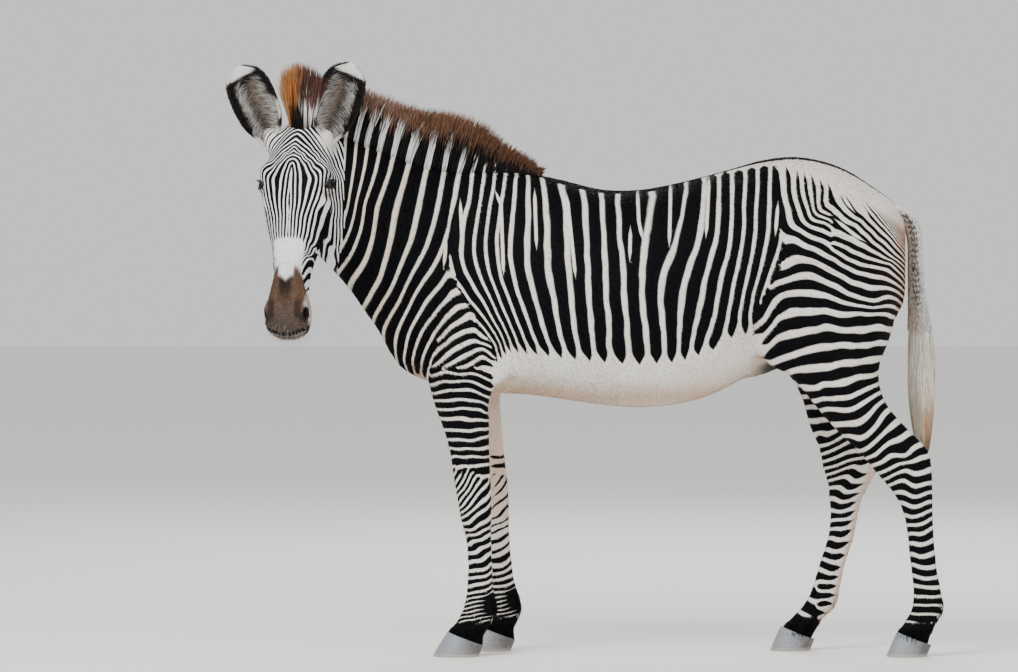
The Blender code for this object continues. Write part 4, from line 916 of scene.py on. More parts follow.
def share_out(at, number):
    """How much of each family every point has. The borders are where two families change over."""
    y, z = at.y, at.z
    below_fork = ease(z, 1.180, 1.125)
    neck_edge = np.interp(z, (0.80, 0.86, 0.90, 0.96, 1.00, 1.10), (-0.455, -0.455, -0.440, -0.437, -0.420, -0.400))
    at.to_neck = ease(y, neck_edge + 0.008, neck_edge - 0.008)
    last = np.interp(z, (0.99, 1.03, 1.08, 1.13), (-10.5, -9.55, -9.5, -9.0))
    to_barrel = ease(number["barrel"], last - 0.12, last + 0.12) * below_fork + (1 - below_fork)
    at.to_barrel = to_barrel * (1 - at.to_neck)
    at.to_shoulder = np.clip(1 - at.to_neck - at.to_barrel, 0, 1)
    border = np.interp(z, *np.array(HIP_BORDER)[:, ::-1].T)
    at.to_haunch = ease(y, border - 0.007, border + 0.007)
    to_rump = ease(y, 0.728, 0.742) * ease(z, 1.10, 1.16) + ease(y, 0.690, 0.730) * ease(z, 1.16, 1.10)
    to_foreleg = ease(z, 0.872, 0.856) * at.fore * ease(y, -0.466, -0.452)
    at.to_foreleg = np.maximum(to_foreleg, ease(z, 0.80, 0.775) * at.fore)
    knee = 0.566 - 0.030 * np.clip(at.fore_share, 0, 1) + 0.012 * np.sin(90 * y + 40 * at.x)
    at.to_cannon = ease(z, knee + 0.016, knee - 0.016) * at.fore

    # the head's own stripes, with a soft change behind the cheek and below the ears
    cheek_edge = np.interp(at.down, (-0.02, 0.06, 0.14, 0.26, 0.36), (0.085, 0.130, 0.182, 0.215, 0.40))
    at.to_face = ease(-at.out, cheek_edge + 0.006, cheek_edge - 0.006)
    cheek_limit = np.interp(at.down, (0, 0.264, 0.359, 0.441, 0.50), (0.135, 0.156, 0.140, 0.118, 0.110))
    at.to_face *= ease(at.head[:, 0] - FACE_TURN * at.out, cheek_limit + 0.004, cheek_limit - 0.004)
    at.to_face *= ease(-at.head[:, 0] - FACE_TURN * at.out, 0.25, 0.20)
    at.to_face *= ease(at.down, -0.045, -0.015) * ease(y, -0.60, -0.63)
    number["face"] = face_count(at.head, at.to_face > 0)

    above_legs = (1 - at.to_haunch) * (1 - at.to_foreleg) * (1 - at.to_face)
    return {
        "neck": at.to_neck * above_legs,
        "barrel": at.to_barrel * above_legs,
        "shoulder": at.to_shoulder * above_legs,
        "hip": at.to_haunch * (1 - to_rump) * (1 - at.to_face),
        "rump": at.to_haunch * to_rump * (1 - at.to_face),
        "forearm": at.to_foreleg * (1 - at.to_cannon) * (1 - at.to_face),
        "cannon": at.to_foreleg * at.to_cannon * (1 - at.to_face),
        "face": at.to_face,
    }


def body_white(at):
    """The share of white on the body: over 1 it is all white, as on the belly, and under 0 all black."""
    y, z, inner = at.y, at.z, at.inner
    white = np.full(len(y), TRUNK_WHITE)
    white += (NECK_WHITE - TRUNK_WHITE) * at.to_neck
    white += (SHOULDER_WHITE - TRUNK_WHITE) * at.to_shoulder
    white += (RUMP_WHITE - TRUNK_WHITE) * at.to_haunch * ease(z, 0.95, 1.25)
    white += (THIGH_WHITE - TRUNK_WHITE) * at.to_haunch * ease(z, 1.25, 0.95)
    to_forearm = (FOREARM_WHITE - white) * at.to_foreleg * (1 - at.to_cannon)
    white += to_forearm + (CANNON_WHITE - white) * at.to_foreleg * at.to_cannon
    white -= 0.15 * ease(np.abs(y - 0.215), 0.125, 0.085) * ease(z, 1.17, 1.27)
    rump_top = np.interp(y, *np.array(RUMP_TOP).T)
    white += 0.10 * at.to_haunch * ease(z, rump_top - 0.15, rump_top - 0.05)
    white += 0.75 * at.to_haunch * ease(z, rump_top - 0.045, rump_top + 0.008)
    # black where the haunch and the shoulder meet the barrel
    seam = 4 * at.to_haunch * (1 - at.to_haunch) * ease(z, 0.93, 0.98) * ease(z, 1.36, 1.30)
    seam = np.maximum(seam, 4 * at.to_shoulder * at.to_barrel * ease(z, 1.12, 1.09))
    white -= 0.34 * seam
    # the belly, then the insides of the legs
    belly_line = np.interp(y, *np.array(BELLY_LINE).T)
    leg_side = at.fore * ease(z, 0.90, 0.84) * ease(y, -0.262, -0.275) + (y > 0.1) * ease(y, 0.50, 0.56)
    leg_side = leg_side * ease(np.abs(at.x), 0.050, 0.085)
    inner_white = np.where(at.fore, ease(z, 0.36, 0.62), ease(z, 0.78, 0.88))
    at.under = ease(z, belly_line + 0.055, belly_line - 0.012) * (1 - at.to_face)
    at.under *= 1 - leg_side * (1 - inner * inner_white)
    at.under *= (y > -0.50) & (z > 0.60)
    white += 1.25 * at.under
    white += 0.9 * inner * ease(z, 0.80, 0.68) * ease(z, 0.36, 0.62) * ease(at.fore_share, 0.75, 0.40) * at.fore
    white += 0.75 * inner * ease(z, 0.95, 0.80) * ease(at.hind_share, 0.60, 0.95) * (y > 0.1)
    white += 0.28 * inner * ease(z, 0.20, 0.40) * at.fore
    # black feet, and a black patch in front of the fetlocks
    white -= 0.12 * ease(z, 0.20, 0.16) + 1.6 * ease(z, 0.104, 0.088)
    white -= 0.8 * ease(z, 0.108, 0.150) * ease(z, 0.205, 0.165) * ease(at.fore_share, 0.42, 0.90) * at.fore
    # the dark line along the back, broad over saddle and rump, with white beside it on the rump
    flat = ease(at.normals[:, 2], 0.50, 0.86)
    saddle = ease(np.abs(y - 0.08), 0.26, 0.10)
    line_half = 0.016 + 0.040 * saddle + 0.036 * ease(y, 0.35, 0.60) - 0.040 * ease(y, 0.74, 0.95)
    at.back_line = ease(np.abs(at.x), line_half + 0.005, line_half - 0.003) * flat
    at.back_line *= ease(y, -0.25, -0.12) * ease(y, 0.99, 0.93)
    white += 0.9 * ease(np.abs(at.x), line_half + 0.045, line_half + 0.020) * flat * ease(y, 0.30, 0.55)
    return white * (1 - at.back_line) - 0.9 * at.back_line


def face_white(at):
    """The share of white on the head: all white on the blaze, under the jaw and at the ears' roots."""
    white = FACE_WHITE + 0.06 * ease(at.down, 0.20, 0.34) + 0.05 * ease(at.left, 0.07, 0.10)
    white += 1.3 * ease(at.down, 0.345, 0.372) * ease(at.left + 0.6 * at.behind_face, 0.066, 0.048)
    white += 0.45 * near(at.left_head, (0.098, 0.232, -0.020), (0.06, 0.036, 0.048))
    white += 0.5 * ease(at.down, 0.44, 0.52) * ease(at.behind_face, 0.030, 0.060)
    white += 0.9 * ease(at.normals @ np.array(HEAD_OUT), -0.35, -0.8)
    ear_reach = (0.055, 0.065, 0.07)
    at.ear_root = near(at.head, (0.075, 0.03, -0.05), ear_reach) + near(at.head, (-0.082, 0.03, -0.045), ear_reach)
    return white + 1.2 * at.ear_root


def tint(colours, colour, share):
    """Moves each colour towards another one, by its own share."""
    colours += (np.array(colour) - colours) * np.clip(share, 0, 1)[:, None]


def colour_body(at, light, dark):
    """Cream, tan and brown in the white and the black hair of the body, with painted shade as tan under the belly."""
    y, z, up = at.y, at.z, at.normals[:, 2]
    tint(light, NECK_CREAM, 0.55 * ease(y, -0.30, -0.60) * (1 - at.to_face))
    tint(light, BELLY_WHITE, 0.6 * at.under)
    # hair that faces down under the body turns tan: partly its own tan, partly painted shade of the underside
    tint(light, BELLY_TAN_AND_SHADE, 0.75 * ease(up, -0.62, -0.95) * ease(z, 0.70, 0.78) * (1 - at.to_face))
    hind_tan = 0.35 * ease(z, 0.72, 0.84) + ease(at.hind_share, 0.72, 0.90)
    tint(light, INNER_LEG_TAN, 0.62 * at.inner * ease(z, 0.92, 0.84) * np.where(at.fore, ease(z, 0.28, 0.55), hind_tan))
    tint(light, BUTTOCK_TAN, 0.75 * ease(y, 0.905, 0.955) * ease(z, 0.75, 0.85) * ease(z, 1.36, 1.25))
    tint(light, FACE_WHITE_HAIR, at.to_face)
    tint(dark, BUTTOCK_BLACK, ease(y, 0.86, 0.95) * ease(z, 0.80, 0.90))
    tint(dark, BACK_LINE_BLACK, at.back_line * ease(y, 0.30, 0.60))
    tint(dark, FACE_BLACK_HAIR, at.to_face)
    tint(light, EAR_ROOT_GREY, 0.8 * at.ear_root)
    sheath = near(at.places, (0, 0.56, 0.875), (0.10, 0.10, 0.075))
    tint(light, SHEATH_GREY, 1.6 * sheath)
    tint(dark, SHEATH_BLACK, 1.6 * sheath)


def colour_muzzle(at, light, dark):
    """Two brown prongs beside the blaze join in a brown and then black-grey nose over pale grey lips."""
    left, down, out = at.left, at.down, at.out
    prong = ease(np.abs(left - 0.036), 0.017, 0.009) * ease(down, 0.425, 0.445)
    notch = ease(down - 0.9 * (0.036 - left), 0.438, 0.460)
    nose = np.maximum(prong, notch) * ease(at.behind_face - 0.6 * (down - 0.47), 0.044, 0.024) * (down > 0.40)
    edge = np.interp(down, (0.44, 0.50, 0.55, 0.60, 0.64), (0.056, 0.052, 0.056, 0.064, 0.060))
    nose *= ease(left, edge + 0.008, edge - 0.002)
    nose = np.maximum(nose, ease(down, 0.590, 0.612)) * at.to_face
    mottle = 0.5 + 0.5 * np.sin(1310 * at.x + 7 * np.sin(870 * at.z)) * np.sin(1170 * at.z + 5 * np.sin(790 * at.x))
    middle = nose * ease(left, 0.028, 0.010) * ease(down, 0.57, 0.49) * ease(down, 0.452, 0.475)
    over_nostril = nose * ease(np.abs(left - 0.041), 0.014, 0.005) * ease(down, 0.515, 0.55) * ease(down, 0.605, 0.58)
    mouth_down = 0.633 - 5.5 * left**2
    lips = ease(down, mouth_down + 0.003, mouth_down + 0.007)
    lips = np.maximum(lips, ease(down, 0.575, 0.600) * ease(out, -0.066, -0.080)) * at.to_face
    mouth = ease(np.abs(down - mouth_down), 0.0050, 0.0025) * ease(out, -0.115, -0.095) * at.to_face
    for colours in (light, dark):
        tint(colours, MUZZLE_PALE, 0.85 * ease(down, 0.485, 0.54) * at.to_face)
        tint(colours, blend(*NOSE_BROWNS, mottle), nose)
        tint(colours, blend(*NOSE_GREYS, mottle), 0.85 * nose * ease(down, 0.53, 0.60))
        tint(colours, NOSE_MIDDLE, 0.92 * middle)
        tint(colours, OVER_NOSTRIL, 0.85 * over_nostril)
        tint(colours, blend(*LIP_GREYS, mottle), lips)
        tint(colours, MOUTH_BLACK, mouth)
    nostril = 2.2 * near(at.left_head, NOSTRIL, (0.034, 0.034, 0.024)) * (down > 0.5)
    for colours, black in zip((light, dark), NOSTRIL_BLACKS):
        tint(colours, black, nostril)


def colour_eye_edges(at, light, dark):
    """Bare black skin round the lids, and a brown bag below the eye."""
    tint(light, EYE_BAG_BROWN, 0.9 * near(at.left_head, (0.099, 0.209, -0.022), (0.045, 0.020, 0.045)))
    eye_dark = np.zeros(len(at.y))
    for hand in (1, -1):
        along, up, deep = eye_places(at.head, hand)
        near_eye = (np.hypot(along, up) < 0.05) & (deep > -0.02)
        rim = ease(lid_distance(along, up), np.where(up > 0, 0.0075, 0.0045), 0.0030)
        eye_dark = np.maximum(eye_dark, near_eye * rim)
    for colours, black in zip((light, dark), EYE_EDGE_BLACKS):
        tint(colours, black, eye_dark)


def mark(places, normals):
    """The coat at each point: its stripes' numbers and shares, their share of white, and its two colours."""
    at = take_places(places, normals)
    number = count_stripes(at)
    shares = share_out(at, number)
    white = body_white(at) * (1 - at.to_face) + face_white(at) * at.to_face
    white += 0.9 * ease(at.down, 0.52, 0.56) * at.to_face
    light, dark = np.tile(WHITE_HAIR, (len(places), 1)), np.tile(BLACK_HAIR, (len(places), 1))
    colour_body(at, light, dark)
    colour_muzzle(at, light, dark)
    colour_eye_edges(at, light, dark)
    return number, shares, np.clip(white, -0.5, 1.6), light, dark


def set_floats(mesh, name, values, domain="POINT"):
    made = mesh.attributes.new(name, "FLOAT", domain)
    made.data.foreach_set("value", np.ascontiguousarray(values, dtype=np.float32))


def set_colours(mesh, name, values):
    made = mesh.color_attributes.new(name, "FLOAT_COLOR", "POINT")
    rgba = np.concatenate((values, np.ones((len(values), 1))), axis=1)
    made.data.foreach_set("color", rgba.astype(np.float32).ravel())


def markings_at(places, normals, faces=None):
    """The markings of each point. Given faces, each corner counts in the family that leads on its face."""
    number, shares, white, light, dark = mark(places, normals)
    names = list(number)
    counts = np.array([number[name] for name in names])
    parts = np.array([shares[name] for name in names])
    wave = (np.exp(2j * np.pi * counts) * parts).sum(axis=0)
    across, beyond = streak_places(places[:, 1], places[:, 2])
    across = np.where((places[:, 0] < 0) | (normals[:, 0] < 0.05), 9.0, across)
    gap = np.abs(across) + np.maximum(beyond, 0)
    if faces is None:
        corners, lead = np.arange(len(places)), parts.argmax(axis=0)
        nearest = gap.argmin(axis=0)
    else:
        corners, starts, sizes = faces
        lead = np.repeat(np.add.reduceat(parts[:, corners], starts, axis=1).argmax(axis=0), sizes)
        nearest = np.repeat(np.add.reduceat(gap[:, corners], starts, axis=1).argmin(axis=0), sizes)
    led = counts[lead, corners]
    stripe = led + np.angle(wave[corners] * np.exp(-2j * np.pi * led)) / (2 * np.pi)
    return {
        "stripe": stripe, "streak": across[nearest, corners], "streak_end": beyond[nearest, corners],
        "white": white, "light": light, "dark": dark,
    }


def write_markings(mesh, marks, domain="POINT"):
    for name in ("stripe", "streak", "streak_end"):
        set_floats(mesh, name, marks[name], domain)
    set_floats(mesh, "white", marks["white"])
    set_colours(mesh, "light", marks["light"])
    set_colours(mesh, "dark", marks["dark"])


def faces_of(mesh):
    """Which point each corner has, where each face's corners start and how many there are."""
    corners = np.empty(len(mesh.loops), dtype=np.int32)
    mesh.loops.foreach_get("vertex_index", corners)
    starts = np.empty(len(mesh.polygons), dtype=np.int32)
    mesh.polygons.foreach_get("loop_start", starts)
    return corners, starts, np.diff(np.append(starts, len(corners)))


skin_places, skin_normals = places_of(shaped), places_of(shaped, "normal")
write_markings(shaped, markings_at(skin_places, skin_normals, faces_of(shaped)), "CORNER")

# What skin and coat share: the group turns the stripes' number and share of white into colour. Its edges
# wander a little and are broken by hairs.
marks_group = bpy.data.node_groups.new("coat_markings", "ShaderNodeTree")
for name, kind, value in (
    ("Wander", "NodeSocketFloat", 0.055),
    ("Hair Break", "NodeSocketFloat", 0.05),
    ("Edge", "NodeSocketFloat", 0.045),
):
    made = marks_group.interface.new_socket(name, in_out="INPUT", socket_type=kind)
    made.default_value = value
marks_group.interface.new_socket("Color", in_out="OUTPUT", socket_type="NodeSocketColor")


def node(tree, kind, inputs=None, **settings):
    """A shader node with its settings, and its inputs linked or set."""
    made = tree.nodes.new(kind)
    for key, value in settings.items():
        setattr(made, key, value)
    for key, value in (inputs or {}).items():
        if isinstance(value, bpy.types.NodeSocket):
            tree.links.new(value, made.inputs[key])
        else:
            made.inputs[key].default_value = value
    return made


def maths(tree, operation, *values):
    return node(tree, "ShaderNodeMath", dict(enumerate(values)), operation=operation).outputs[0]


def object_place(tree):
    return node(tree, "ShaderNodeTexCoord").outputs["Object"]


def stretched(tree, place, scale):
    return node(tree, "ShaderNodeMapping", {"Vector": place, "Scale": scale}).outputs["Vector"]


def attribute(tree, name, colour=False):
    made = node(tree, "ShaderNodeAttribute", attribute_name=name)
    return made.outputs["Color" if colour else "Fac"]


def noise(tree, place, scale, detail=2.0, roughness=0.5):
    made = node(tree, "ShaderNodeTexNoise", {"Vector": place, "Scale": scale, "Detail": detail, "Roughness": roughness})
    return made.outputs["Fac"]


def mix(tree, share, first, second, blend_type="MIX"):
    made = node(tree, "ShaderNodeMix", data_type="RGBA", blend_type=blend_type)
    for socket, value in ((made.inputs[0], share), (made.inputs[6], first), (made.inputs[7], second)):
        if isinstance(value, bpy.types.NodeSocket):
            tree.links.new(value, socket)
        else:
            socket.default_value = value
    return made.outputs[2]


def ramp(tree, value, low_end, high_end):
    made = node(tree, "ShaderNodeMapRange", {"Value": value, 1: low_end, 2: high_end}, interpolation_type="SMOOTHSTEP")
    return made.outputs[0]


tree = marks_group
given = node(tree, "NodeGroupInput").outputs
spot = object_place(tree)
wander = maths(tree, "SUBTRACT", noise(tree, spot, 24.0), 0.5)
hairs = maths(tree, "SUBTRACT", noise(tree, spot, 420.0, 1.0), 0.5)
number = maths(tree, "MULTIPLY_ADD", wander, given["Wander"], attribute(tree, "stripe"))
off = maths(tree, "ABSOLUTE", maths(tree, "SUBTRACT", number, maths(tree, "ROUND", number)))
half = maths(tree, "MULTIPLY", attribute(tree, "white"), 0.5)
swell = maths(tree, "MULTIPLY", maths(tree, "SUBTRACT", noise(tree, spot, 34.0), 0.5), 0.16)
inside = maths(tree, "SUBTRACT", maths(tree, "MULTIPLY_ADD", half, maths(tree, "ADD", 1.0, swell), 0.0), off)
inside = maths(tree, "MULTIPLY_ADD", hairs, given["Hair Break"], inside)
striped = ramp(tree, inside, maths(tree, "MULTIPLY", given["Edge"], -1.0), given["Edge"])
taper = ramp(tree, attribute(tree, "streak_end"), 0.0, -0.035)
streak_width = maths(tree, "MULTIPLY_ADD", taper, 0.0048, 0.0002)
streak_off = maths(tree, "MULTIPLY_ADD", hairs, 0.0022, maths(tree, "ABSOLUTE", attribute(tree, "streak")))
streaked = ramp(tree, maths(tree, "SUBTRACT", streak_width, streak_off), -0.0008, 0.0010)
streaked = maths(tree, "MULTIPLY", streaked, ramp(tree, attribute(tree, "streak_end"), 0.002, -0.001))
is_white = maths(tree, "MAXIMUM", striped, streaked)
light_hair = mix(tree, ramp(tree, noise(tree, spot, 9.0, 3.0), 0.35, 0.75), attribute(tree, "light", True),
                 (0.93, 0.90, 0.86, 1), "MULTIPLY")
colour = mix(tree, is_white, attribute(tree, "dark", True), light_hair)
grain = ramp(tree, noise(tree, spot, 300.0, 2.0), 0.2, 0.8)
colour = mix(tree, grain, mix(tree, 1.0, colour, (0.80, 0.79, 0.78, 1), "MULTIPLY"), colour)
node(tree, "NodeGroupOutput", {"Color": colour})


def new_material(name, roughness, specular=0.5):
    """A material with its tree and its Principled shader."""
    made = bpy.data.materials.new(name)
    made.use_nodes = True
    shader = made.node_tree.nodes["Principled BSDF"]
    shader.inputs["Roughness"].default_value = roughness
    shader.inputs["Specular IOR Level"].default_value = specular
    return made, made.node_tree, shader


def bump(tree, shader, height, strength, distance):
    made = node(tree, "ShaderNodeBump", {"Height": height, "Strength": strength, "Distance": distance})
    tree.links.new(made.outputs["Normal"], shader.inputs["Normal"])


skin_finish, tree, shader = new_material("short_coat", 0.62, 0.05)
marks = node(tree, "ShaderNodeGroup", node_tree=marks_group)
tree.links.new(marks.outputs["Color"], shader.inputs["Base Color"])
spot = object_place(tree)
lie = stretched(tree, spot, (1.0, 0.45, 0.6))
bump(tree, shader, noise(tree, lie, 700.0, 2.0, 0.6), 0.5, 0.0008)
shaped.materials.append(skin_finish)
shaped.shade_smooth()
FLESH = ("head", "neck", "trunk", "foreleg_left", "foreleg_right", "hind_leg_left", "hind_leg_right")
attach(skin, "root")
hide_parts(*FLESH)
coat_finish, tree, shader = new_material("coat_tufts", 0.55, 0.05)
marks = node(tree, "ShaderNodeGroup", {"Wander": 0.03, "Hair Break": 0.06}, node_tree=marks_group)
tree.links.new(marks.outputs["Color"], shader.inputs["Base Color"])
spot = object_place(tree)
bump(tree, shader, noise(tree, spot, 1300.0, 1.0), 0.2, 0.0003)

# ---
# The ears: two large cups of thin gristle under short hair, open to the front. A black band edges them,
# a white patch caps them, and long grey-white hairs grow inward from both edges over the dark cup.
EAR_LENGTH = 0.266
EAR_WALL = 0.0052
EAR_INNER_HAIRS, EAR_EDGE_HAIRS, EAR_BACK_HAIRS = 1500, 2000, 5200
# Place along the ear from root to tip, half width, depth of the cup, and how far the cup turns round
EAR = (
    (0.000, 0.026, 0.028, 1.50), (0.115, 0.034, 0.036, 1.50), (0.203, 0.048, 0.042, 1.35),
    (0.314, 0.061, 0.045, 1.20), (0.424, 0.066, 0.044, 1.10), (0.535, 0.069, 0.041, 1.05),
    (0.646, 0.069, 0.036, 1.00), (0.756, 0.066, 0.030, 1.00), (0.867, 0.054, 0.021, 1.00),
    (0.934, 0.036, 0.013, 1.00), (1.000, 0.010, 0.006, 1.00),
)
EAR_ROWS = np.array(smooth_rows(EAR, 6))
dice = np.random.default_rng(24)


def loft_mesh(name, rings):
    """A closed, smooth tube through the rings, as its own mesh."""
    bm = bmesh.new()
    add_loft(bm, rings)
    bmesh.ops.recalc_face_normals(bm, faces=bm.faces)
    mesh = mesh_from(name, bm)
    mesh.shade_smooth()
    return mesh


def unit(ways):
    return ways / np.maximum(np.linalg.norm(ways, axis=-1, keepdims=True), 1e-9)


def strand_mesh(name, paths, sides, widths, thick):
    """Closed three-sided strands of hair: flat below, ridged above, each ending in one point."""
    many, steps = paths.shape[:2]
    ways = unit(np.gradient(paths, axis=1))
    across = sides[:, None, :] - ways * (sides[:, None, :] * ways).sum(axis=2, keepdims=True)
    across = unit(across)
    above = np.cross(across, ways)
    half = widths[:, :, None] * across / 2
    ridge = above * thick * (widths / widths[:, :1])[:, :, None]
    rings = np.stack((paths - half, paths + half, paths + ridge), axis=2)[:, :-1]
    points = np.concatenate((rings.reshape(many, -1, 3), paths[:, -1:]), axis=1)
    faces, sizes = [0, 1, 2], [3]
    for k in range(steps - 2):
        a, b = 3 * k, 3 * k + 3
        faces += [a, b, b + 1, a + 1, a, a + 2, b + 2, b, a + 1, b + 1, b + 2, a + 2]
        sizes += [4, 4, 4]
    a, tip = 3 * (steps - 2), 3 * (steps - 1)
    faces += [a, tip, a + 1, a, a + 2, tip, a + 1, tip, a + 2]
    sizes += [3, 3, 3]
    each = points.shape[1]
    corners = (np.array(faces)[None, :] + each * np.arange(many)[:, None]).ravel()
    sizes = np.tile(sizes, many)
    mesh = bpy.data.meshes.new(name)
    mesh.vertices.add(many * each)
    mesh.vertices.foreach_set("co", points.ravel())
    mesh.loops.add(len(corners))
    mesh.loops.foreach_set("vertex_index", corners.astype(np.int32))
    mesh.polygons.add(len(sizes))
    mesh.polygons.foreach_set("loop_start", np.concatenate(((0,), np.cumsum(sizes)[:-1])).astype(np.int32))
    mesh.update(calc_edges=True)
    # the bake's map: a cell for each strand, which lies upright in it
    cells, strand = math.ceil(math.sqrt(many)), np.arange(many)
    within = [(aside, k / (steps - 1)) for k in range(steps - 1) for aside in (0.25, 0.75, 0.5)] + [(0.5, 1.0)]
    spots = (np.stack((strand % cells, strand // cells), axis=1)[:, None] + 0.1 + 0.8 * np.array(within)) / cells
    bake = mesh.uv_layers.new(name="OFBake")
    bake.uv.foreach_set("vector", spots.reshape(-1, 2)[corners].astype(np.float32).ravel())
    return mesh


def strand_values(values, steps):
    """Values given at every step of every strand, repeated for the points that strand_mesh makes of it."""
    many = len(values)
    rings = np.repeat(values[:, : steps - 1], 3, axis=1)
    return np.concatenate((rings, values[:, steps - 1 :]), axis=1).reshape(many * (3 * steps - 2), *values.shape[2:])


def show(name, mesh, nodes, finish):
    """Places a finished mesh on the frame as a piece."""
    mesh.transform(Matrix.Translation(TO_FRAME))
    mesh.materials.append(finish)
    piece = put(name, mesh)
    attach(piece, "root")
    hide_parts(*nodes)


def grow(name, paths, sides, widths, thick, shades, nodes, finish):
    """Makes strands of hair with a colour at every step, and shows them as a piece."""
    hair = strand_mesh(name, paths, sides, widths, thick)
    set_hair_colours(hair, strand_values(shades, paths.shape[1]))
    show(name, hair, nodes, finish)


def ear_axes(root, tip, facing):
    root, tip, facing = Vector(root), Vector(tip), Vector(facing)
    upward = (tip - root).normalized()
    facing = (facing - upward * upward.dot(facing)).normalized()
    return np.array(root), np.array(upward), np.array(facing), np.array(upward.cross(facing))


def ear_point(ear, place, turn, wall):
    """A point of the cup, turned from -1 at one edge to 1 at the other, as deep in its wall as asked."""
    root, upward, facing, across = ear
    half_width, depth, wrap = (np.interp(place, EAR_ROWS[:, 0], EAR_ROWS[:, k]) for k in (1, 2, 3))
    angle = turn * np.pi / 2 * wrap
    inside = np.maximum(0.25, 1 - wall / half_width)
    inner_depth = np.maximum(0.25, 1 - wall / depth)
    sideways = (np.sin(angle) * half_width * inside)[..., None] * across
    backward = (np.cos(angle) * depth * inner_depth)[..., None] * facing
    return root + (place * EAR_LENGTH)[..., None] * upward + sideways - backward


def ear_colours(place, turn, hand, inner):
    """The ear's colours: black band, white cap, pale edge hair inside and a dark middle."""
    outer_edge = turn * hand
    speckle = 0.5 + 0.5 * np.sin(61 * turn + 37 * place) * np.sin(23 * turn - 90 * place)
    cup = blend((0.30, 0.25, 0.20), (0.085, 0.068, 0.055), ease(np.abs(turn - 0.12 * hand), 0.30, 0.05) * 0.9)
    cup = blend(cup, (0.66, 0.64, 0.61), ease(np.abs(turn), 0.22, 0.46))
    cup = blend(cup, (0.045, 0.036, 0.032), 0.7 * ease(place, 0.66, 0.80) * ease(np.abs(turn), 0.6, 0.2))
    back = blend((0.70, 0.67, 0.62), (0.016, 0.014, 0.014), ease(place, 0.44, 0.50))
    back = blend(back, (0.016, 0.014, 0.014), ease(np.abs(place - 0.24), 0.055, 0.035))
    colours = np.where(inner[..., None], cup, back)
    band_foot = np.where(outer_edge > 0, 0.20, 0.50)
    band = ease(np.abs(turn), 0.52, 0.60) * ease(place, band_foot - 0.05, band_foot + 0.05)
    band = np.maximum(band, ease(place + 0.05 * outer_edge, 0.765, 0.800))
    colours = blend(colours, (0.012, 0.010, 0.010), band)
    cap = ease(place + 0.025 * outer_edge, 0.866, 0.886) * ease(outer_edge, -0.97, -0.85)
    colours = blend(colours, (0.86, 0.85, 0.83), cap)
    return colours * (0.9 + 0.2 * speckle)[..., None]


def set_hair_colours(mesh, values):
    set_colours(mesh, "hair", np.clip(values, 0.004, 1))


def hair_material(name, roughness, along=(1.0, 1.0, 0.25)):
    """Long hair: its own colour per strand, finely streaked along its length."""
    made, tree, shader = new_material(name, roughness, 0.12)
    lie = stretched(tree, object_place(tree), along)
    streaks = noise(tree, lie, 900.0, 2.0, 0.6)
    own = attribute(tree, "hair", True)
    shade = mix(tree, ramp(tree, streaks, 0.25, 0.75), mix(tree, 1.0, own, (0.66, 0.64, 0.62, 1), "MULTIPLY"), own)
    tree.links.new(shade, shader.inputs["Base Color"])
    bump(tree, shader, streaks, 0.35, 0.0006)
    return made


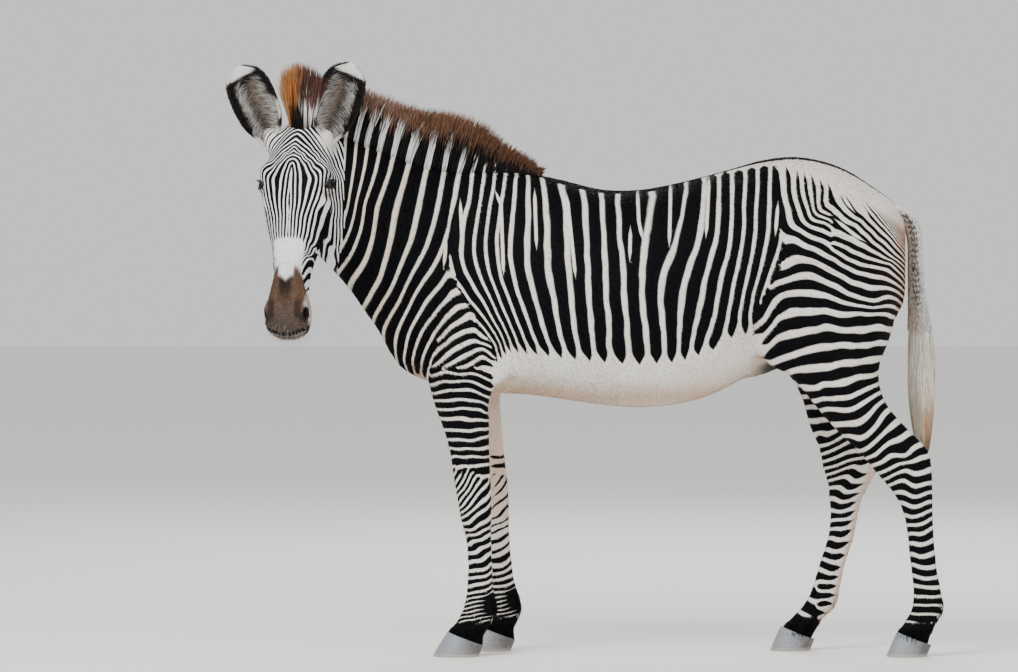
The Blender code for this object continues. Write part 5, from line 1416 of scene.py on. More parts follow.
ear_finish = hair_material("ear_coat", 0.7)
shell_steps, turns = np.linspace(0, 1, 46), np.linspace(-1, 1, 36)
for side, hand, ear in (("left", 1, ear_axes(**LEFT_EAR)), ("right", -1, ear_axes(**RIGHT_EAR))):
    # the cup's shell, its outer and inner sheets joined round the edge
    place = np.repeat(shell_steps[:, None], 2 * len(turns), axis=1)
    turn = np.tile(np.concatenate((turns, turns[::-1])), (len(shell_steps), 1))
    inner = np.tile(np.arange(2 * len(turns)) >= len(turns), (len(shell_steps), 1))
    wave = 0.0011 * np.sin(19 * place + 6 * turn) * inner
    points = ear_point(ear, place, turn, np.where(inner, EAR_WALL, 0.0) + wave)
    shell = loft_mesh("ear_cup_" + side, list(points))
    found = places_of(shell) - ear[0]
    place = np.clip(found @ ear[1] / EAR_LENGTH, 0, 1)
    half_width, depth, wrap = (np.interp(place, EAR_ROWS[:, 0], EAR_ROWS[:, k]) for k in (1, 2, 3))
    sideways, backward = found @ ear[3] / half_width, -(found @ ear[2]) / depth
    turn = np.arctan2(sideways, backward) / (np.pi / 2 * wrap)
    inner = np.hypot(sideways, backward) < 1 - 0.5 * EAR_WALL / half_width
    set_hair_colours(shell, ear_colours(place, turn, hand, inner))
    show("ear_cup_" + side, shell, ("ear_" + side,), ear_finish)

    # hairs inside, from both edges over the cup
    count = EAR_INNER_HAIRS
    place = 0.10 + 0.74 * dice.random(count)
    turn = (0.14 + 0.84 * dice.random(count)) * np.where(dice.random(count) < 0.5, 1, -1)
    roots = ear_point(ear, place, turn, np.full(count, EAR_WALL - 0.0006))
    length = (0.018 + 0.020 * dice.random(count)) * ease(place, 0.95, 0.75) * ease(np.abs(turn), 1.3, 0.55)
    inward = -np.sign(turn)[:, None] * ear[3]
    lean = unit(inward * 0.55 + ear[2] * (0.30 + 0.25 * dice.random((count, 1))) + ear[1] * 0.75
                + 0.22 * dice.normal(size=(count, 3)))
    t = np.linspace(0, 1, 5)[None, :, None]
    paths = roots[:, None] + lean[:, None] * length[:, None, None] * t
    paths += (inward * 0.30 - ear[2] * 0.12)[:, None] * length[:, None, None] * t**2
    widths = 0.0017 * (1 - 0.75 * t[:, :, 0]) * np.ones((count, 1))
    shades = ear_colours(place, turn, hand, np.ones(count, dtype=bool))
    pale = (shades.mean(axis=1) > 0.06) * dice.random(count) * 0.6 * ease(np.abs(turn), 0.15, 0.40)
    shades = blend(shades, (0.80, 0.78, 0.74), pale)
    shades = blend(shades, (0.05, 0.04, 0.035), (dice.random(count) < 0.26) * 0.85)
    shades = np.repeat(shades[:, None], 5, axis=1)
    sides = unit(np.cross(ear[2], ear[1]) + 0.4 * dice.normal(size=(count, 3)))
    grow("ear_hair_" + side, paths, sides, widths, 0.0005, shades, ("ear_" + side,), ear_finish)

    # the short hair of the back and the edge
    edge_count, back_count = EAR_EDGE_HAIRS, EAR_BACK_HAIRS
    at = np.concatenate((0.05 + 0.94 * dice.random(edge_count), 0.02 + 0.97 * dice.random(back_count)))
    round_it = np.concatenate((0.93 + 0.07 * dice.random(edge_count), 1.85 * dice.random(back_count) - 0.925))
    round_it[:edge_count] *= np.where(dice.random(edge_count) < 0.5, 1, -1)
    wall = np.concatenate((EAR_WALL * dice.random(edge_count), np.full(back_count, 0.0005)))
    roots = ear_point(ear, at, round_it, wall)
    outward = unit(roots - ear_point(ear, at, round_it, np.full(len(at), 0.010)))
    lean = unit(ear[1] + 0.26 * outward + 0.12 * dice.normal(size=(len(at), 3)))
    length = np.concatenate((0.0065 + 0.005 * dice.random(edge_count), 0.008 + 0.003 * dice.random(back_count)))
    length *= ease(at, 1.06, 0.90)
    t = np.linspace(0, 1, 3)[None, :, None]
    paths = roots[:, None] + lean[:, None] * length[:, None, None] * t
    widths = 0.0020 * (1 - 0.7 * t[:, :, 0]) * np.ones((len(at), 1))
    shades = ear_colours(at, round_it, hand, np.zeros(len(at), dtype=bool))
    shades = np.repeat((shades * (0.85 + 0.3 * dice.random((len(at), 1))))[:, None], 3, axis=1)
    sides = np.cross(lean, outward)
    grow("ear_fur_" + side, paths, sides, widths, 0.0005, shades, ("ear_" + side,), ear_finish)

# ---
# The mane: stiff hair as long as a hand that stands up along the crest of the neck. The neck's stripes
# run on into it, and its tips are worn rust-brown.
# Place along the crest, height above it and half thickness
MANE = (
    (-0.144, 0.012, 0.010), (-0.190, 0.040, 0.014), (-0.249, 0.069, 0.017), (-0.309, 0.108, 0.020),
    (-0.369, 0.140, 0.022), (-0.429, 0.156, 0.022), (-0.490, 0.146, 0.022), (-0.550, 0.132, 0.022),
    (-0.633, 0.138, 0.021), (-0.710, 0.137, 0.019), (-0.775, 0.129, 0.016), (-0.808, 0.118, 0.012),
)
MANE_STEPS = 7
MANE_HAIRS, FORELOCK_HAIRS = 5600, 1500
skin_tree = BVHTree.FromPolygons(skin_places.tolist(), [tuple(face.vertices) for face in shaped.polygons])


def on_skin(points):
    """The nearest place to each point that lies just under the skin."""
    found = [skin_tree.find_nearest(point)[:2] for point in points.tolist()]
    return np.array([place - 0.002 * normal for place, normal in found])


rows = np.array(smooth_rows(MANE, 3))[::-1]
crest = np.array(neck_rows)
crest = crest[np.argsort(crest[:, 1])]
count = MANE_HAIRS
y = -0.822 + 0.690 * (np.arange(count) + dice.random(count)) / count
x, z, turned = (np.interp(y, crest[:, 1], crest[:, k]) for k in (0, 2, 8))
height, half_thick = (np.interp(y, rows[:, 0], rows[:, k]) for k in (1, 2))
off = 2 * dice.random(count) - 1
across = np.column_stack((np.cos(np.radians(turned)), np.sin(np.radians(turned)), np.zeros(count)))
foot = 0.010 + (0.008 + 0.022 * dice.random(count)) * off**2
roots = np.column_stack((x, y, z - foot)) + across * (off * half_thick)[:, None]
reach = height * (0.90 + 0.16 * dice.random(count)) * (1 - 0.16 * off**2)
reach = np.minimum(reach, height * 1.02) + 0.020
lean_back = 0.25 + 0.05 * np.sin(31 * y) + 0.035 * dice.normal(size=count)
lean_back *= ease(y, -0.86, -0.70) * 0.6 + 0.4
t = np.linspace(0, 1, MANE_STEPS)[None, :, None]
upward = np.column_stack((np.zeros(count), lean_back, np.ones(count)))
upward += across * (0.10 * off + 0.035 * dice.normal(size=count))[:, None]
paths = roots[:, None] + upward[:, None] * reach[:, None, None] * t
paths += np.array((0, 1.0, 0)) * (0.012 * dice.normal(size=(count, 1, 1))) * t**2
rooted = on_skin(roots + across * (0.006 * off)[:, None])
paths += (rooted - roots)[:, None] * (1 - t) ** 3
widths = 0.0046 * (0.4 + 0.6 * ease(t[:, :, 0], 0, 0.2)) * (1 - 0.80 * t[:, :, 0] ** 1.5) * np.ones((count, 1))
number = count_family(level(NECK_RAILS), rooted[:, 1], rooted[:, 2], np.ones(count, dtype=bool))
off_white = np.abs(number - np.round(number))
white_half = np.interp(y, (-0.80, -0.45, -0.30, -0.22), (0.23, 0.17, 0.13, 0.0))
pale = ease(off_white + 0.025 * dice.normal(size=count), white_half + 0.02, white_half - 0.02)
white_top = np.interp(y, (-0.80, -0.62, -0.45, -0.33, -0.24), (0.82, 0.74, 0.60, 0.40, 0.10))
brown_from = np.interp(y, (-0.80, -0.50, -0.30, -0.15), (0.77, 0.72, 0.68, 0.66))
jitter = 0.06 * dice.normal(size=(count, 1))
along = np.tile(t[:, :, 0], (count, 1)) + jitter
rust = blend((0.330, 0.195, 0.142), (0.205, 0.100, 0.058), ease(y, -0.72, -0.52))
rust = blend(rust, (0.140, 0.068, 0.040), ease(y, -0.44, -0.28))
rust = rust * (0.65 + 0.7 * dice.random((count, 1)))
shades = np.tile((0.0042, 0.0040, 0.0046), (count, MANE_STEPS, 1)) * (0.8 + 0.5 * dice.random((count, 1, 1)))
pale = pale[:, None] * ease(along, white_top[:, None] + 0.09, white_top[:, None] - 0.09)
shades = blend(shades, (0.78, 0.765, 0.74), pale)
shades = blend(shades, rust[:, None], ease(along, brown_from[:, None] - 0.10, brown_from[:, None] + 0.16))
mane_finish = hair_material("mane_hair", 0.62)
grow("mane_hair", paths, across, widths, 0.0016, shades, ("mane",), mane_finish)

# ---
# The forelock: the mane's front end, a fan of upright hair between the ears. It is orange on one side
# of its black core, and streaked white below dark brown tips on the other.
FORELOCK_FOOT = (0.128, -0.846)
FORELOCK = (
    (1.540, 0.038, 0.020), (1.570, 0.043, 0.022), (1.605, 0.048, 0.027), (1.650, 0.053, 0.032),
    (1.700, 0.058, 0.034), (1.740, 0.062, 0.032), (1.785, 0.063, 0.028),
)
rows = np.array(FORELOCK)
left = np.array((math.sin(FACE_YAW), math.cos(FACE_YAW), 0))
ahead = np.array((math.cos(FACE_YAW), -math.sin(FACE_YAW), 0))
count = FORELOCK_HAIRS
across, deep = np.sqrt(dice.random(count)), 2 * np.pi * dice.random(count)
across, deep = across * np.cos(deep), across * np.sin(deep)
top = 1.782 - 0.060 * np.maximum(across, 0) ** 1.6 - 0.060 * np.abs(np.minimum(across, 0)) ** 2.2
top -= 0.055 * dice.random(count) ** 1.8 + 0.012 * deep**2
t = np.linspace(0, 1, MANE_STEPS)[None, :]
foot = 1.574 + 0.040 * across**2 + 0.012 * dice.random(count)
z = foot[:, None] + (top - foot)[:, None] * t
half_width, half_depth = (np.interp(z, rows[:, 0], rows[:, k]) for k in (1, 2))
wild = 0.14 * dice.normal(size=(count, 1)) * t**1.5
paths = np.stack((np.full_like(z, FORELOCK_FOOT[0]), np.full_like(z, FORELOCK_FOOT[1]), z), axis=2)
broad = half_width * np.where(across > 0, 1 + 0.45 * (top - 1.60) / 0.17, 1.0)[:, None]
paths += left * ((across[:, None] + wild) * broad)[..., None]
paths += ahead * ((deep[:, None] + 0.10 * dice.normal(size=(count, 1)) * t) * half_depth + 0.010 * t)[..., None]
paths += (on_skin(paths[:, 0]) - paths[:, 0])[:, None] * (1 - t)[..., None] ** 2
widths = 0.0038 * (1 - 0.85 * t**1.3) * np.ones((count, 1))
along = np.tile(t, (count, 1)) + 0.06 * dice.normal(size=(count, 1))
orange = blend((0.43, 0.150, 0.032), (0.52, 0.34, 0.20), ease(across, -0.45, -0.95))
shades = np.repeat((orange * (0.7 + 0.6 * dice.random((count, 1))))[:, None], MANE_STEPS, axis=1)
shades = blend(shades, (0.50, 0.29, 0.17), 0.6 * ease(along, 0.70, 1.0))
streaked = 0.5 + 0.5 * np.sin(across * 26 + 1.1)
other = np.tile((0.120, 0.058, 0.042), (count, MANE_STEPS, 1)) * (0.6 + 0.8 * dice.random((count, 1, 1)))
other = blend(other, (0.030, 0.018, 0.018), (streaked > 0.80)[:, None] * 0.8)
other = blend(other, (0.80, 0.77, 0.76), (streaked < 0.66)[:, None] * ease(along, 0.54, 0.40))
shades = np.where((across > 0.08 + 0.05 * np.sin(across * 90))[:, None, None], other, shades)
core = ease(along, 0.60, 0.34) * ease(np.abs(across + 0.10)[:, None] * 1.35 + 0.50 * along, 0.78, 0.50)
shades = blend(shades, (0.007, 0.006, 0.006), core)
sides = np.tile(left, (count, 1))
grow("forelock_hair", paths, sides, widths, 0.0015, shades, ("forelock",), mane_finish)

# ---
# The tail: a thin dock in short white hair crossed by small black bars, and below it a long tuft,
# cream above and tan at its end, that hangs down to the hocks.
# Height, y and half widths fore-and-aft and sideways
TAIL = (
    (1.345, 0.925, 0.022, 0.026), (1.320, 0.962, 0.024, 0.026), (1.285, 0.986, 0.024, 0.024),
    (1.235, 0.996, 0.022, 0.021), (1.160, 0.998, 0.023, 0.021), (1.080, 1.002, 0.026, 0.023),
    (1.020, 1.007, 0.031, 0.027), (0.960, 1.012, 0.038, 0.032), (0.880, 1.016, 0.042, 0.035),
    (0.800, 1.016, 0.041, 0.034), (0.720, 1.017, 0.036, 0.030), (0.660, 1.019, 0.028, 0.023),
    (0.610, 1.024, 0.016, 0.013), (0.585, 1.027, 0.005, 0.004),
)
DOCK_END = 0.86
DOCK_HAIRS, TAIL_HAIRS = 6000, 4200
rows = np.array(smooth_rows(TAIL, 3))[::-1]


def tail_colours(points, ragged=0.0):
    """The dock's bars, painted shade on the dock's side towards the rump, and the tuft's cream, tan and grey, by place;
    ragged shifts each hair's bars.
    """
    y, z = points[..., 1], points[..., 2]
    middle, half_depth = (np.interp(z, rows[:, 0], rows[:, k]) for k in (1, 2))
    rearward = (y - middle) / half_depth
    # painted shade: the dock's side towards the rump is a darker brownish grey than its white rear
    colours = blend((0.58, 0.50, 0.42), (0.82, 0.80, 0.77), ease(rearward, -0.5, 0.3))
    aside = np.abs(rearward + 0.10)
    bars = z / 0.0175 - 0.55 * aside + ragged
    bars = np.abs(bars - np.round(bars))
    half_bar = np.interp(z, (1.00, 1.10, 1.30), (0.10, 0.19, 0.27)) * (1.15 - 0.7 * aside)
    barred = ease(bars, half_bar + 0.05, half_bar - 0.03) * ease(aside, 0.62, 0.40) * ease(z, 1.000, 1.060)
    barred = barred * ease(z, 1.335, 1.315)
    colours = blend(colours, (0.012, 0.010, 0.014), barred)
    tuft = ease(z, 0.99, 0.93)
    colours = blend(colours, (0.74, 0.69, 0.60), tuft)
    colours = blend(colours, (0.42, 0.37, 0.27), 0.75 * ease(z, 0.86, 0.74) * ease(rearward, 0.15, -0.35))
    return blend(colours, (0.56, 0.335, 0.180), 0.9 * ease(z, 0.80, 0.68) * ease(rearward, -0.30, 0.25))


rings = []
for z, y, half_depth, half_width in smooth_rows(TAIL, 3):
    thin = np.interp(z, (DOCK_END - 0.02, DOCK_END, 1.06, 1.30), (0.05, 0.30, 0.80, 0.92))
    if z > DOCK_END - 0.02:
        rings.append(section((0, y, z), (1, 0, 0), (0, 1, 0), half_width * thin, half_depth * thin, half_depth * thin))
dock = loft_mesh("tail_dock", rings)
set_hair_colours(dock, tail_colours(places_of(dock)))
tail_finish = hair_material("tail_hair", 0.6)
show("tail_dock", dock, ("tail",), tail_finish)

# short hair of the dock, then the long hair from lower down it
for name, count, steps, wide in (("tail_dock_hair", DOCK_HAIRS, 3, 0.0024), ("tail_hair", TAIL_HAIRS, 8, 0.0036)):
    short = name == "tail_dock_hair"
    if short:
        root_z = 0.98 + 0.365 * dice.random(count)
        end_z = root_z - 0.014 - 0.010 * dice.random(count)
        fill = np.full((count, 1), 1.05)
    else:
        root_z = 0.87 + 0.24 * dice.random(count) ** 0.8
        end_z = 0.585 + 0.180 * dice.random(count) ** 1.5
        fill = 0.25 + 0.75 * np.sqrt(dice.random((count, 1)))
    around = 2 * np.pi * dice.random(count)
    t = np.linspace(0, 1, steps)[None, :]
    z = root_z[:, None] + (end_z - root_z)[:, None] * t
    y, half_depth, half_width = (np.interp(z, rows[:, 0], rows[:, k]) for k in (1, 2, 3))
    thin = np.interp(root_z, (DOCK_END, 1.06, 1.30), (0.30, 0.80, 0.92))[:, None] * 0.97
    spread = thin + (fill - thin) * ease(t, 0, 0.55)
    wisp = around[:, None] + (0.12 if short else 0.40) * dice.normal(size=(count, 1)) * t
    paths = np.stack((np.cos(wisp) * half_width * spread, y + np.sin(wisp) * half_depth * spread, z), axis=2)
    outward = np.column_stack((np.cos(around), np.sin(around), np.zeros(count)))
    widths = wide * (1 - 0.78 * t**1.5) * np.ones((count, 1))
    shades = tail_colours(paths, 0.10 * dice.normal(size=(count, 1))) * (0.78 + 0.40 * dice.random((count, 1, 1)))
    sides = np.cross(unit(paths[:, 1] - paths[:, 0]), outward)
    grow(name, paths, sides, widths, 0.0008, shades, ("tail",), tail_finish)

# ---
# The eyes: dark brown balls with a clear bulge in front and a pupil that lies level, held by black lid
# edges with lashes. They sit in the skin's hollows, where the frame has them.
PUPIL = (0.40, 0.20)  # half its length and height, in parts of the ball's radius
LASHES = 110
RIM_STEPS, RIM_SIDES = 96, 12
eye_finish, tree, shader = new_material("eye", 0.05, 0.10)
along, up = attribute(tree, "along"), attribute(tree, "up")
pupil = maths(tree, "POWER", maths(tree, "ABSOLUTE", maths(tree, "DIVIDE", along, PUPIL[0])), 3.0)
tall = maths(tree, "POWER", maths(tree, "ABSOLUTE", maths(tree, "DIVIDE", up, PUPIL[1])), 2.0)
pupil = maths(tree, "ADD", pupil, tall)
square = maths(tree, "MULTIPLY", along, along)
reach = maths(tree, "SQRT", maths(tree, "ADD", square, maths(tree, "MULTIPLY", up, up)))
angle = maths(tree, "ARCTAN2", up, along)
ray = node(tree, "ShaderNodeCombineXYZ", {0: angle, 1: maths(tree, "MULTIPLY", reach, 0.3)}).outputs[0]
iris = mix(tree, noise(tree, ray, 9.0, 4.0, 0.7), (0.005, 0.003, 0.0025, 1), (0.024, 0.011, 0.007, 1))
iris = mix(tree, ramp(tree, reach, 0.52, 0.66), iris, (0.008, 0.005, 0.004, 1))
look = mix(tree, ramp(tree, pupil, 0.85, 1.15), (0.0015, 0.0015, 0.002, 1), iris)
look = mix(tree, ramp(tree, reach, 0.74, 0.86), look, (0.016, 0.010, 0.008, 1))
tree.links.new(look, shader.inputs["Base Color"])
shader.inputs["Coat Weight"].default_value = 0.16
shader.inputs["Coat Roughness"].default_value = 0.02
lid_finish, tree, shader = new_material("eye_lid", 0.32)
folds = noise(tree, object_place(tree), 620.0, 3.0)
tree.links.new(mix(tree, folds, (0.006, 0.005, 0.005, 1), (0.026, 0.020, 0.019, 1)), shader.inputs["Base Color"])
bump(tree, shader, folds, 0.4, 0.0005)

for side, hand in (("left", 1), ("right", -1)):
    # the eye's own directions, in the frame
    mirror = np.array((hand, 1, 1))
    centre = np.array(in_head(*(np.array(EYE_PLACE) * mirror)))
    eye_along, eye_up, eye_axis = ((way * mirror) @ HEAD_AXES for way in (EYE_SLIT, EYE_UP, EYE_AXIS))
    axes = np.array((eye_along, eye_up, eye_axis))
    bm = bmesh.new()
    bmesh.ops.create_uvsphere(bm, u_segments=72, v_segments=48, radius=1.0)
    ball = mesh_from("eye_" + side, bm)
    points = places_of(ball)
    set_floats(ball, "along", points[:, 0])
    set_floats(ball, "up", points[:, 1])
    bulge = 1 + 0.050 * ease(points[:, 2], 0.55, 0.95)
    ball.vertices.foreach_set("co", (centre + (points * (EYE_RADIUS * bulge)[:, None]) @ axes).ravel())
    if np.linalg.det(axes) < 0:
        ball.flip_normals()
    ball.shade_smooth()
    show("eye_" + side + "_ball", ball, ("eye_" + side,), eye_finish)

    # the edge of both lids, a rounded rim along the almond
    turn = np.linspace(0, 2 * np.pi, RIM_STEPS, endpoint=False)
    rim_along = 1.03 * HALF_SLIT * np.cos(turn)
    lid = np.where(np.sin(turn) > 0, UPPER_LID, LOWER_LID)
    rim_up = np.sin(turn) * lid * 1.04 * np.abs(np.sin(turn)) ** 0.25
    deep = np.sqrt((EYE_RADIUS + 0.0009) ** 2 - rim_along**2 - rim_up**2)
    line = np.stack((rim_along, rim_up, deep), axis=1)
    outward = unit(line)
    forward = unit(np.roll(line, -1, axis=0) - np.roll(line, 1, axis=0))
    beside = np.cross(forward, outward)
    around = np.linspace(0, 2 * np.pi, RIM_SIDES, endpoint=False)[None, :, None]
    thick = 0.0015 + 0.0020 * np.maximum(np.sin(turn), 0)[:, None, None]
    tube = line[:, None] + thick * (np.cos(around) * outward[:, None] + 1.35 * np.sin(around) * beside[:, None])
    ring = np.arange(RIM_STEPS)[:, None] * RIM_SIDES + np.arange(RIM_SIDES)
    after, next_round = np.roll(ring, -1, axis=0), np.roll(ring, -1, axis=1)
    quads = np.stack((ring, after, np.roll(after, -1, axis=1), next_round), axis=2).reshape(-1, 4)
    rim = bpy.data.meshes.new("lid_" + side)
    rim.from_pydata((centre + tube.reshape(-1, 3) @ axes).tolist(), [], quads.tolist())
    bm = bmesh.new()
    bm.from_mesh(rim)
    bmesh.ops.recalc_face_normals(bm, faces=bm.faces)
    bm.to_mesh(rim)
    bm.free()
    rim.shade_smooth()
    show("eye_" + side + "_lids", rim, ("eye_" + side,), lid_finish)

    # lashes of the upper lid, bent outward and down
    count = LASHES
    turn = np.pi * (0.06 + 0.88 * dice.random(count))
    along, up = 1.03 * HALF_SLIT * np.cos(turn), UPPER_LID * 1.08 * np.sin(turn)
    deep = np.sqrt((EYE_RADIUS + 0.0018) ** 2 - along**2 - up**2)
    roots = np.stack((along, up, deep), axis=1)
    length = 0.010 + 0.006 * dice.random(count)
    t = np.linspace(0, 1, 5)[None, :, None]
    fan = np.column_stack((0.35 * np.cos(turn), 0.20 + 0.2 * dice.random(count), np.ones(count)))
    paths = roots[:, None] + length[:, None, None] * (unit(fan)[:, None] * t + np.array((0, -0.42, 0.0)) * t**2)
    widths = 0.0008 * (1 - 0.85 * t[:, :, 0]) * np.ones((count, 1))
    lashes = strand_mesh("lashes_" + side, centre + paths @ axes, np.tile(eye_along, (count, 1)), widths, 0.0004)
    set_hair_colours(lashes, np.tile((0.010, 0.008, 0.007), (len(lashes.vertices), 1)))
    show("eye_" + side + "_lashes", lashes, ("eye_" + side,), ear_finish)

# ---
# The hooves: blue-grey horn, steeper at the heel, ringed by growth, dark behind and worn pale at the
# ground. Each tapers up to the slanting line where the hair of its foot begins.
HOOF_TAPER = 0.20
HOOF_ROUNDNESS = 0.85
HOOF_SIDES = 56
horn, tree, shader = new_material("hoof_horn", 0.45)
spot = object_place(tree)
height = node(tree, "ShaderNodeSeparateXYZ", {0: spot}).outputs[2]
tubules = noise(tree, stretched(tree, spot, (1, 1, 0.06)), 520.0, 3.0)
growth = noise(tree, stretched(tree, spot, (0.08, 0.08, 1)), 210.0, 2.0)
look = mix(tree, tubules, (0.150, 0.162, 0.180, 1), (0.290, 0.310, 0.335, 1))
look = mix(tree, ramp(tree, attribute(tree, "heel"), 0.45, 0.95), look, (0.085, 0.080, 0.078, 1))
look = mix(tree, ramp(tree, height, 0.014, 0.0), look, (0.36, 0.33, 0.29, 1))
dusty = maths(tree, "MULTIPLY", ramp(tree, noise(tree, spot, 60.0, 4.0), 0.55, 0.75), 0.5)
look = mix(tree, dusty, look, (0.30, 0.25, 0.19, 1))
tree.links.new(look, shader.inputs["Base Color"])
bump(tree, shader, maths(tree, "ADD", growth, maths(tree, "MULTIPLY", tubules, 0.4)), 0.55, 0.0012)
for name, (hoof, side) in FEET.items():
    rounds = []
    fall = (HOOF_FRONT_HEIGHT - HOOF_HEEL_HEIGHT) / (hoof["back"] - hoof["front"])
    turn = np.linspace(0, 2 * np.pi, HOOF_SIDES, endpoint=False)
    for rise in np.concatenate(((0, 0.02), np.linspace(0.07, 1.0, 22))):
        front = hoof["toe"] + (hoof["front"] - hoof["toe"]) * rise
        back = hoof["heel"] + (hoof["back"] - hoof["heel"]) * rise
        ridge = 1 + 0.006 * math.sin(rise * 34) - (0.035 if rise == 0 else 0.012 if rise < 0.03 else 0)
        half_width = hoof["half_width"] * (1 - HOOF_TAPER * rise) * ridge
        y = (front + back) / 2 - (back - front) / 2 * ridge * np.sin(turn)
        out = np.sign(np.cos(turn)) * np.abs(np.cos(turn)) ** HOOF_ROUNDNESS
        level_z = HOOF_FRONT_HEIGHT - (y - hoof["front"]) * fall
        z = rise * (level_z - 0.0003)
        rounds.append(np.column_stack((side * hoof["out"] + half_width * out, y, z)))
    solid = loft_mesh(name + "_horn", rounds)
    set_floats(solid, "heel", (places_of(solid)[:, 1] - hoof["toe"]) / (hoof["heel"] - hoof["toe"]))
    show(name + "_horn", solid, (name,), horn)

# ---
# The coat: short, sleek hair in thin tufts that overlap and lie back and down the body, down the face
# and down the legs, with small ones on face and feet. It carries the skin's own stripes.
TUFTS = {"head": 34000, "neck": 36000, "trunk": 48000, "rump": 40000, "legs": 44000}
ROOT_PATCH = 0.0030  # how wide each tuft lies on the bake's map
CHART = 0.115  # how wide a metre of skin lies on it


def coat_lie(places, normals):
    """Which way the hair lies, and how long it is."""
    x, y, z = places.T
    head = head_places(places)
    on_head = ease(-head[:, 2], 0.20, 0.12) * ease(y, -0.62, -0.68) * ease(head[:, 1], -0.06, 0.02)
    on_head = np.maximum(on_head, (head[:, 1] > 0.30) * (y < -0.72))
    on_leg = np.maximum(ease(z, 0.90, 0.72) * (y < 0.1), ease(z, 0.98, 0.80) * (y >= 0.1))
    on_leg = on_leg * ease(np.abs(x), 0.03, 0.07)
    on_neck = ease(y, -0.30, -0.50) * (1 - on_head)
    lie = np.tile((0.0, 0.72, -0.62), (len(places), 1))
    lie = blend(lie, (0.0, 0.30, -0.92), on_neck)
    lie = blend(lie, (0.0, 0.12, -1.0), on_leg)
    lie = blend(lie, np.array(HEAD_DOWN) * 0.9 - np.array(HEAD_OUT) * 0.25, on_head)
    rump_end = ease(y, 0.80, 0.93) * (1 - on_leg)
    belly = ease(z, 0.86, 0.80) * (1 - on_leg) * (1 - on_head)
    lie = blend(lie, (0.0, 1.0, -0.15), belly)
    lie = lie - normals * (lie * normals).sum(axis=1, keepdims=True)
    length = 0.0105 - 0.0048 * on_head - 0.0025 * on_leg + 0.0035 * belly - 0.003 * rump_end
    length = length - 0.0015 * on_head * ease(head[:, 1], 0.42, 0.55)
    fetlock = ease(z, 0.20, 0.15) * ease(z, 0.085, 0.11) * ease(normals[:, 1], 0.35, 0.85)
    length = length + 0.014 * fetlock + 0.012 * ease(z, 0.105, 0.080)
    return unit(lie), length, on_head, on_leg


def bake_places(places, normals):
    """Where each root lies on the bake's map: twelve charts, one for each side a patch of skin faces."""
    axis = np.abs(normals).argmax(axis=1)
    facing = normals[np.arange(len(normals)), axis] > 0
    chart = axis * 4 + facing * 2 + (places[:, 0] > 0)
    flat = np.where((axis == 1)[:, None], places[:, [0, 2]], places[:, [1, 0]])
    flat = np.where((axis == 0)[:, None], places[:, [1, 2]], flat)
    low = np.array([(-1.25, 0.0), (-0.6, 0.0), (-1.25, -0.6)])[axis]
    cell = np.stack((chart % 3 * 0.331 + 0.006, chart // 3 * 0.247 + 0.006), axis=1)
    return cell + (flat - low) * CHART


corners, starts, sizes = faces_of(shaped)
first = corners[starts]
fans = [(first, corners[starts + 1], corners[starts + 2])]
four = sizes == 4
fans.append((first[four], corners[starts[four] + 2], corners[starts[four] + 3]))
skin_tris = np.concatenate([np.stack(fan, axis=1) for fan in fans])
corner_places = skin_places[skin_tris]
first_side, second_side = corner_places[:, 1] - corner_places[:, 0], corner_places[:, 2] - corner_places[:, 0]
tri_area = np.linalg.norm(np.cross(first_side, second_side), axis=1) / 2
middle = corner_places.mean(axis=1)
middle_head = head_places(middle)
in_head_part = (middle_head[:, 2] > -0.21) & (middle[:, 1] < -0.66) & (middle_head[:, 1] > -0.06)
in_head_part |= (middle_head[:, 1] > 0.30) & (middle[:, 1] < -0.72)
in_leg = (middle[:, 2] < 0.80) & (np.abs(middle[:, 0]) > 0.045)
parts = {
    "head": in_head_part,
    "legs": in_leg & ~in_head_part,
    "rump": (middle[:, 1] > 0.42) & ~in_leg,
    "trunk": (middle[:, 1] <= 0.42) & (middle[:, 1] > -0.40) & ~in_leg,
    "neck": (middle[:, 1] <= -0.40) & ~in_leg & ~in_head_part,
}
crowd = 1 + 1.2 * ((middle_head[:, 1] > 0.42) & in_head_part)  # small hair, close together, on the muzzle
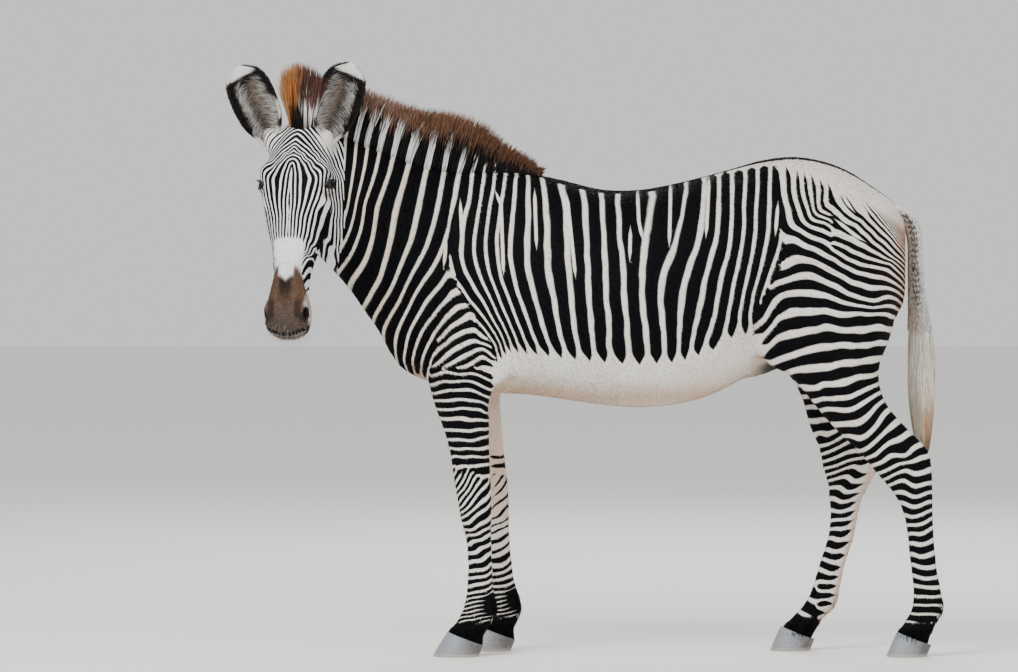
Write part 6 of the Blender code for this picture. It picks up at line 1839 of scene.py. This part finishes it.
for name, count in TUFTS.items():
    weight = tri_area * crowd * parts[name]
    steps = (np.arange(count) + dice.random(count)) / count * weight.sum()
    chosen = np.minimum(np.searchsorted(np.cumsum(weight), steps), len(weight) - 1)
    a, b = dice.random((2, count))
    flip = a + b > 1
    a, b = np.where(flip, 1 - a, a)[:, None], np.where(flip, 1 - b, b)[:, None]
    tri = skin_tris[chosen]
    roots = skin_places[tri[:, 0]] * (1 - a - b) + skin_places[tri[:, 1]] * a + skin_places[tri[:, 2]] * b
    facing = unit(skin_normals[tri[:, 0]] * (1 - a - b) + skin_normals[tri[:, 1]] * a + skin_normals[tri[:, 2]] * b)
    grows = np.ones(count, dtype=bool)
    rooted = head_places(roots)
    for hand in (1, -1):
        along, up, deep = eye_places(rooted, hand)
        grows &= ~((np.hypot(along, up) < 0.045) & (deep > -0.02) & (lid_distance(along, up) < 0.0045))
    inside_nose = near(rooted * np.where(rooted[:, :1] > 0, (1, 1, 1), (-1, 1, 1)), NOSTRIL, (0.020, 0.022, 0.016))
    grows &= inside_nose < 0.02
    roots, facing, kept = roots[grows], facing[grows], int(grows.sum())
    lie, length, on_head, on_leg = coat_lie(roots, facing)
    lie = unit(lie + 0.10 * dice.normal(size=(kept, 3)))
    lie = unit(lie - facing * (lie * facing).sum(axis=1, keepdims=True))
    marks = markings_at(roots, facing)
    off_edge = np.abs(np.abs(marks["stripe"] - np.round(marks["stripe"])) - marks["white"] / 2)
    off_streak = np.abs(np.abs(marks["streak"]) - 0.005) + np.maximum(marks["streak_end"], 0)
    short = np.minimum(ease(off_edge, 0.01, 0.13), ease(off_streak, 0.0005, 0.007))
    length = length * (0.75 + 0.5 * dice.random(kept)) * (0.45 + 0.55 * short)
    lift = 0.10 + 0.07 * dice.random(kept)
    width = np.clip(0.20 * length, 0.0011, 0.0028)
    tips = roots + length[:, None] * (lie + lift[:, None] * facing)
    paths = np.stack((roots - 0.0005 * facing, tips), axis=1)
    widths = np.stack((width, 0 * width), axis=1)
    coat = strand_mesh("coat_" + name, paths, np.cross(lie, facing), widths, 0.0010)
    light = 0.86 + 0.22 * dice.random((kept, 1))
    for key in ("stripe", "streak", "streak_end", "white"):
        marks[key] = np.repeat(marks[key], 4)
    marks["light"] = np.repeat(np.clip(marks["light"] * light, 0, 1), 4, axis=0)
    marks["dark"] = np.repeat(marks["dark"] * (2 * light - 0.94), 4, axis=0)
    write_markings(coat, marks)
    bake = coat.uv_layers["OFBake"]
    patch = np.array(((-0.5, -0.5), (0.5, -0.5), (0.0, 0.0), (0.0, 0.5))) * ROOT_PATCH
    spots = np.clip(bake_places(roots, facing), 0.003, 0.997)[:, None, :] + patch
    loops = np.empty(len(coat.loops), dtype=np.int32)
    coat.loops.foreach_get("vertex_index", loops)
    bake.uv.foreach_set("vector", spots.reshape(-1, 2)[loops].astype(np.float32).ravel())
    show("coat_" + name, coat, FLESH, coat_finish)

# the skin joins its coat on the frame
shaped.transform(Matrix.Translation(TO_FRAME))

# ---
# The whiskers: long, stiff hairs, pale ones and dark ones, that stand alone on lips and chin and bend
# down at their ends.
WHISKERS = 240
found = []
for _ in range(WHISKERS):
    spot = dice.normal() * 0.036, 0.590 + 0.055 * dice.random(), -0.03 - 0.09 * dice.random()
    found.append(skin_tree.find_nearest(in_head(*spot))[:2])
roots, facing = np.array(found).transpose(1, 0, 2)
t = np.linspace(0, 1, 5)[None, :, None]
stand = unit(facing + 0.55 * np.array(HEAD_DOWN) + 0.25 * dice.normal(size=(WHISKERS, 3)))
length = 0.010 + 0.028 * dice.random(WHISKERS) ** 1.5
paths = roots[:, None] + length[:, None, None] * (stand[:, None] * t + np.array((0, 0, -0.25)) * t**2)
widths = 0.0006 * (1 - 0.8 * t[:, :, 0]) * np.ones((WHISKERS, 1))
shades = blend((0.55, 0.50, 0.44), (0.05, 0.04, 0.035), dice.random(WHISKERS) > 0.5)
shades = np.repeat(shades[:, None], 5, axis=1)
sides = np.cross(stand, facing + 0.1)
grow("whiskers", paths, sides, widths, 0.0003, shades, ("head",), ear_finish)
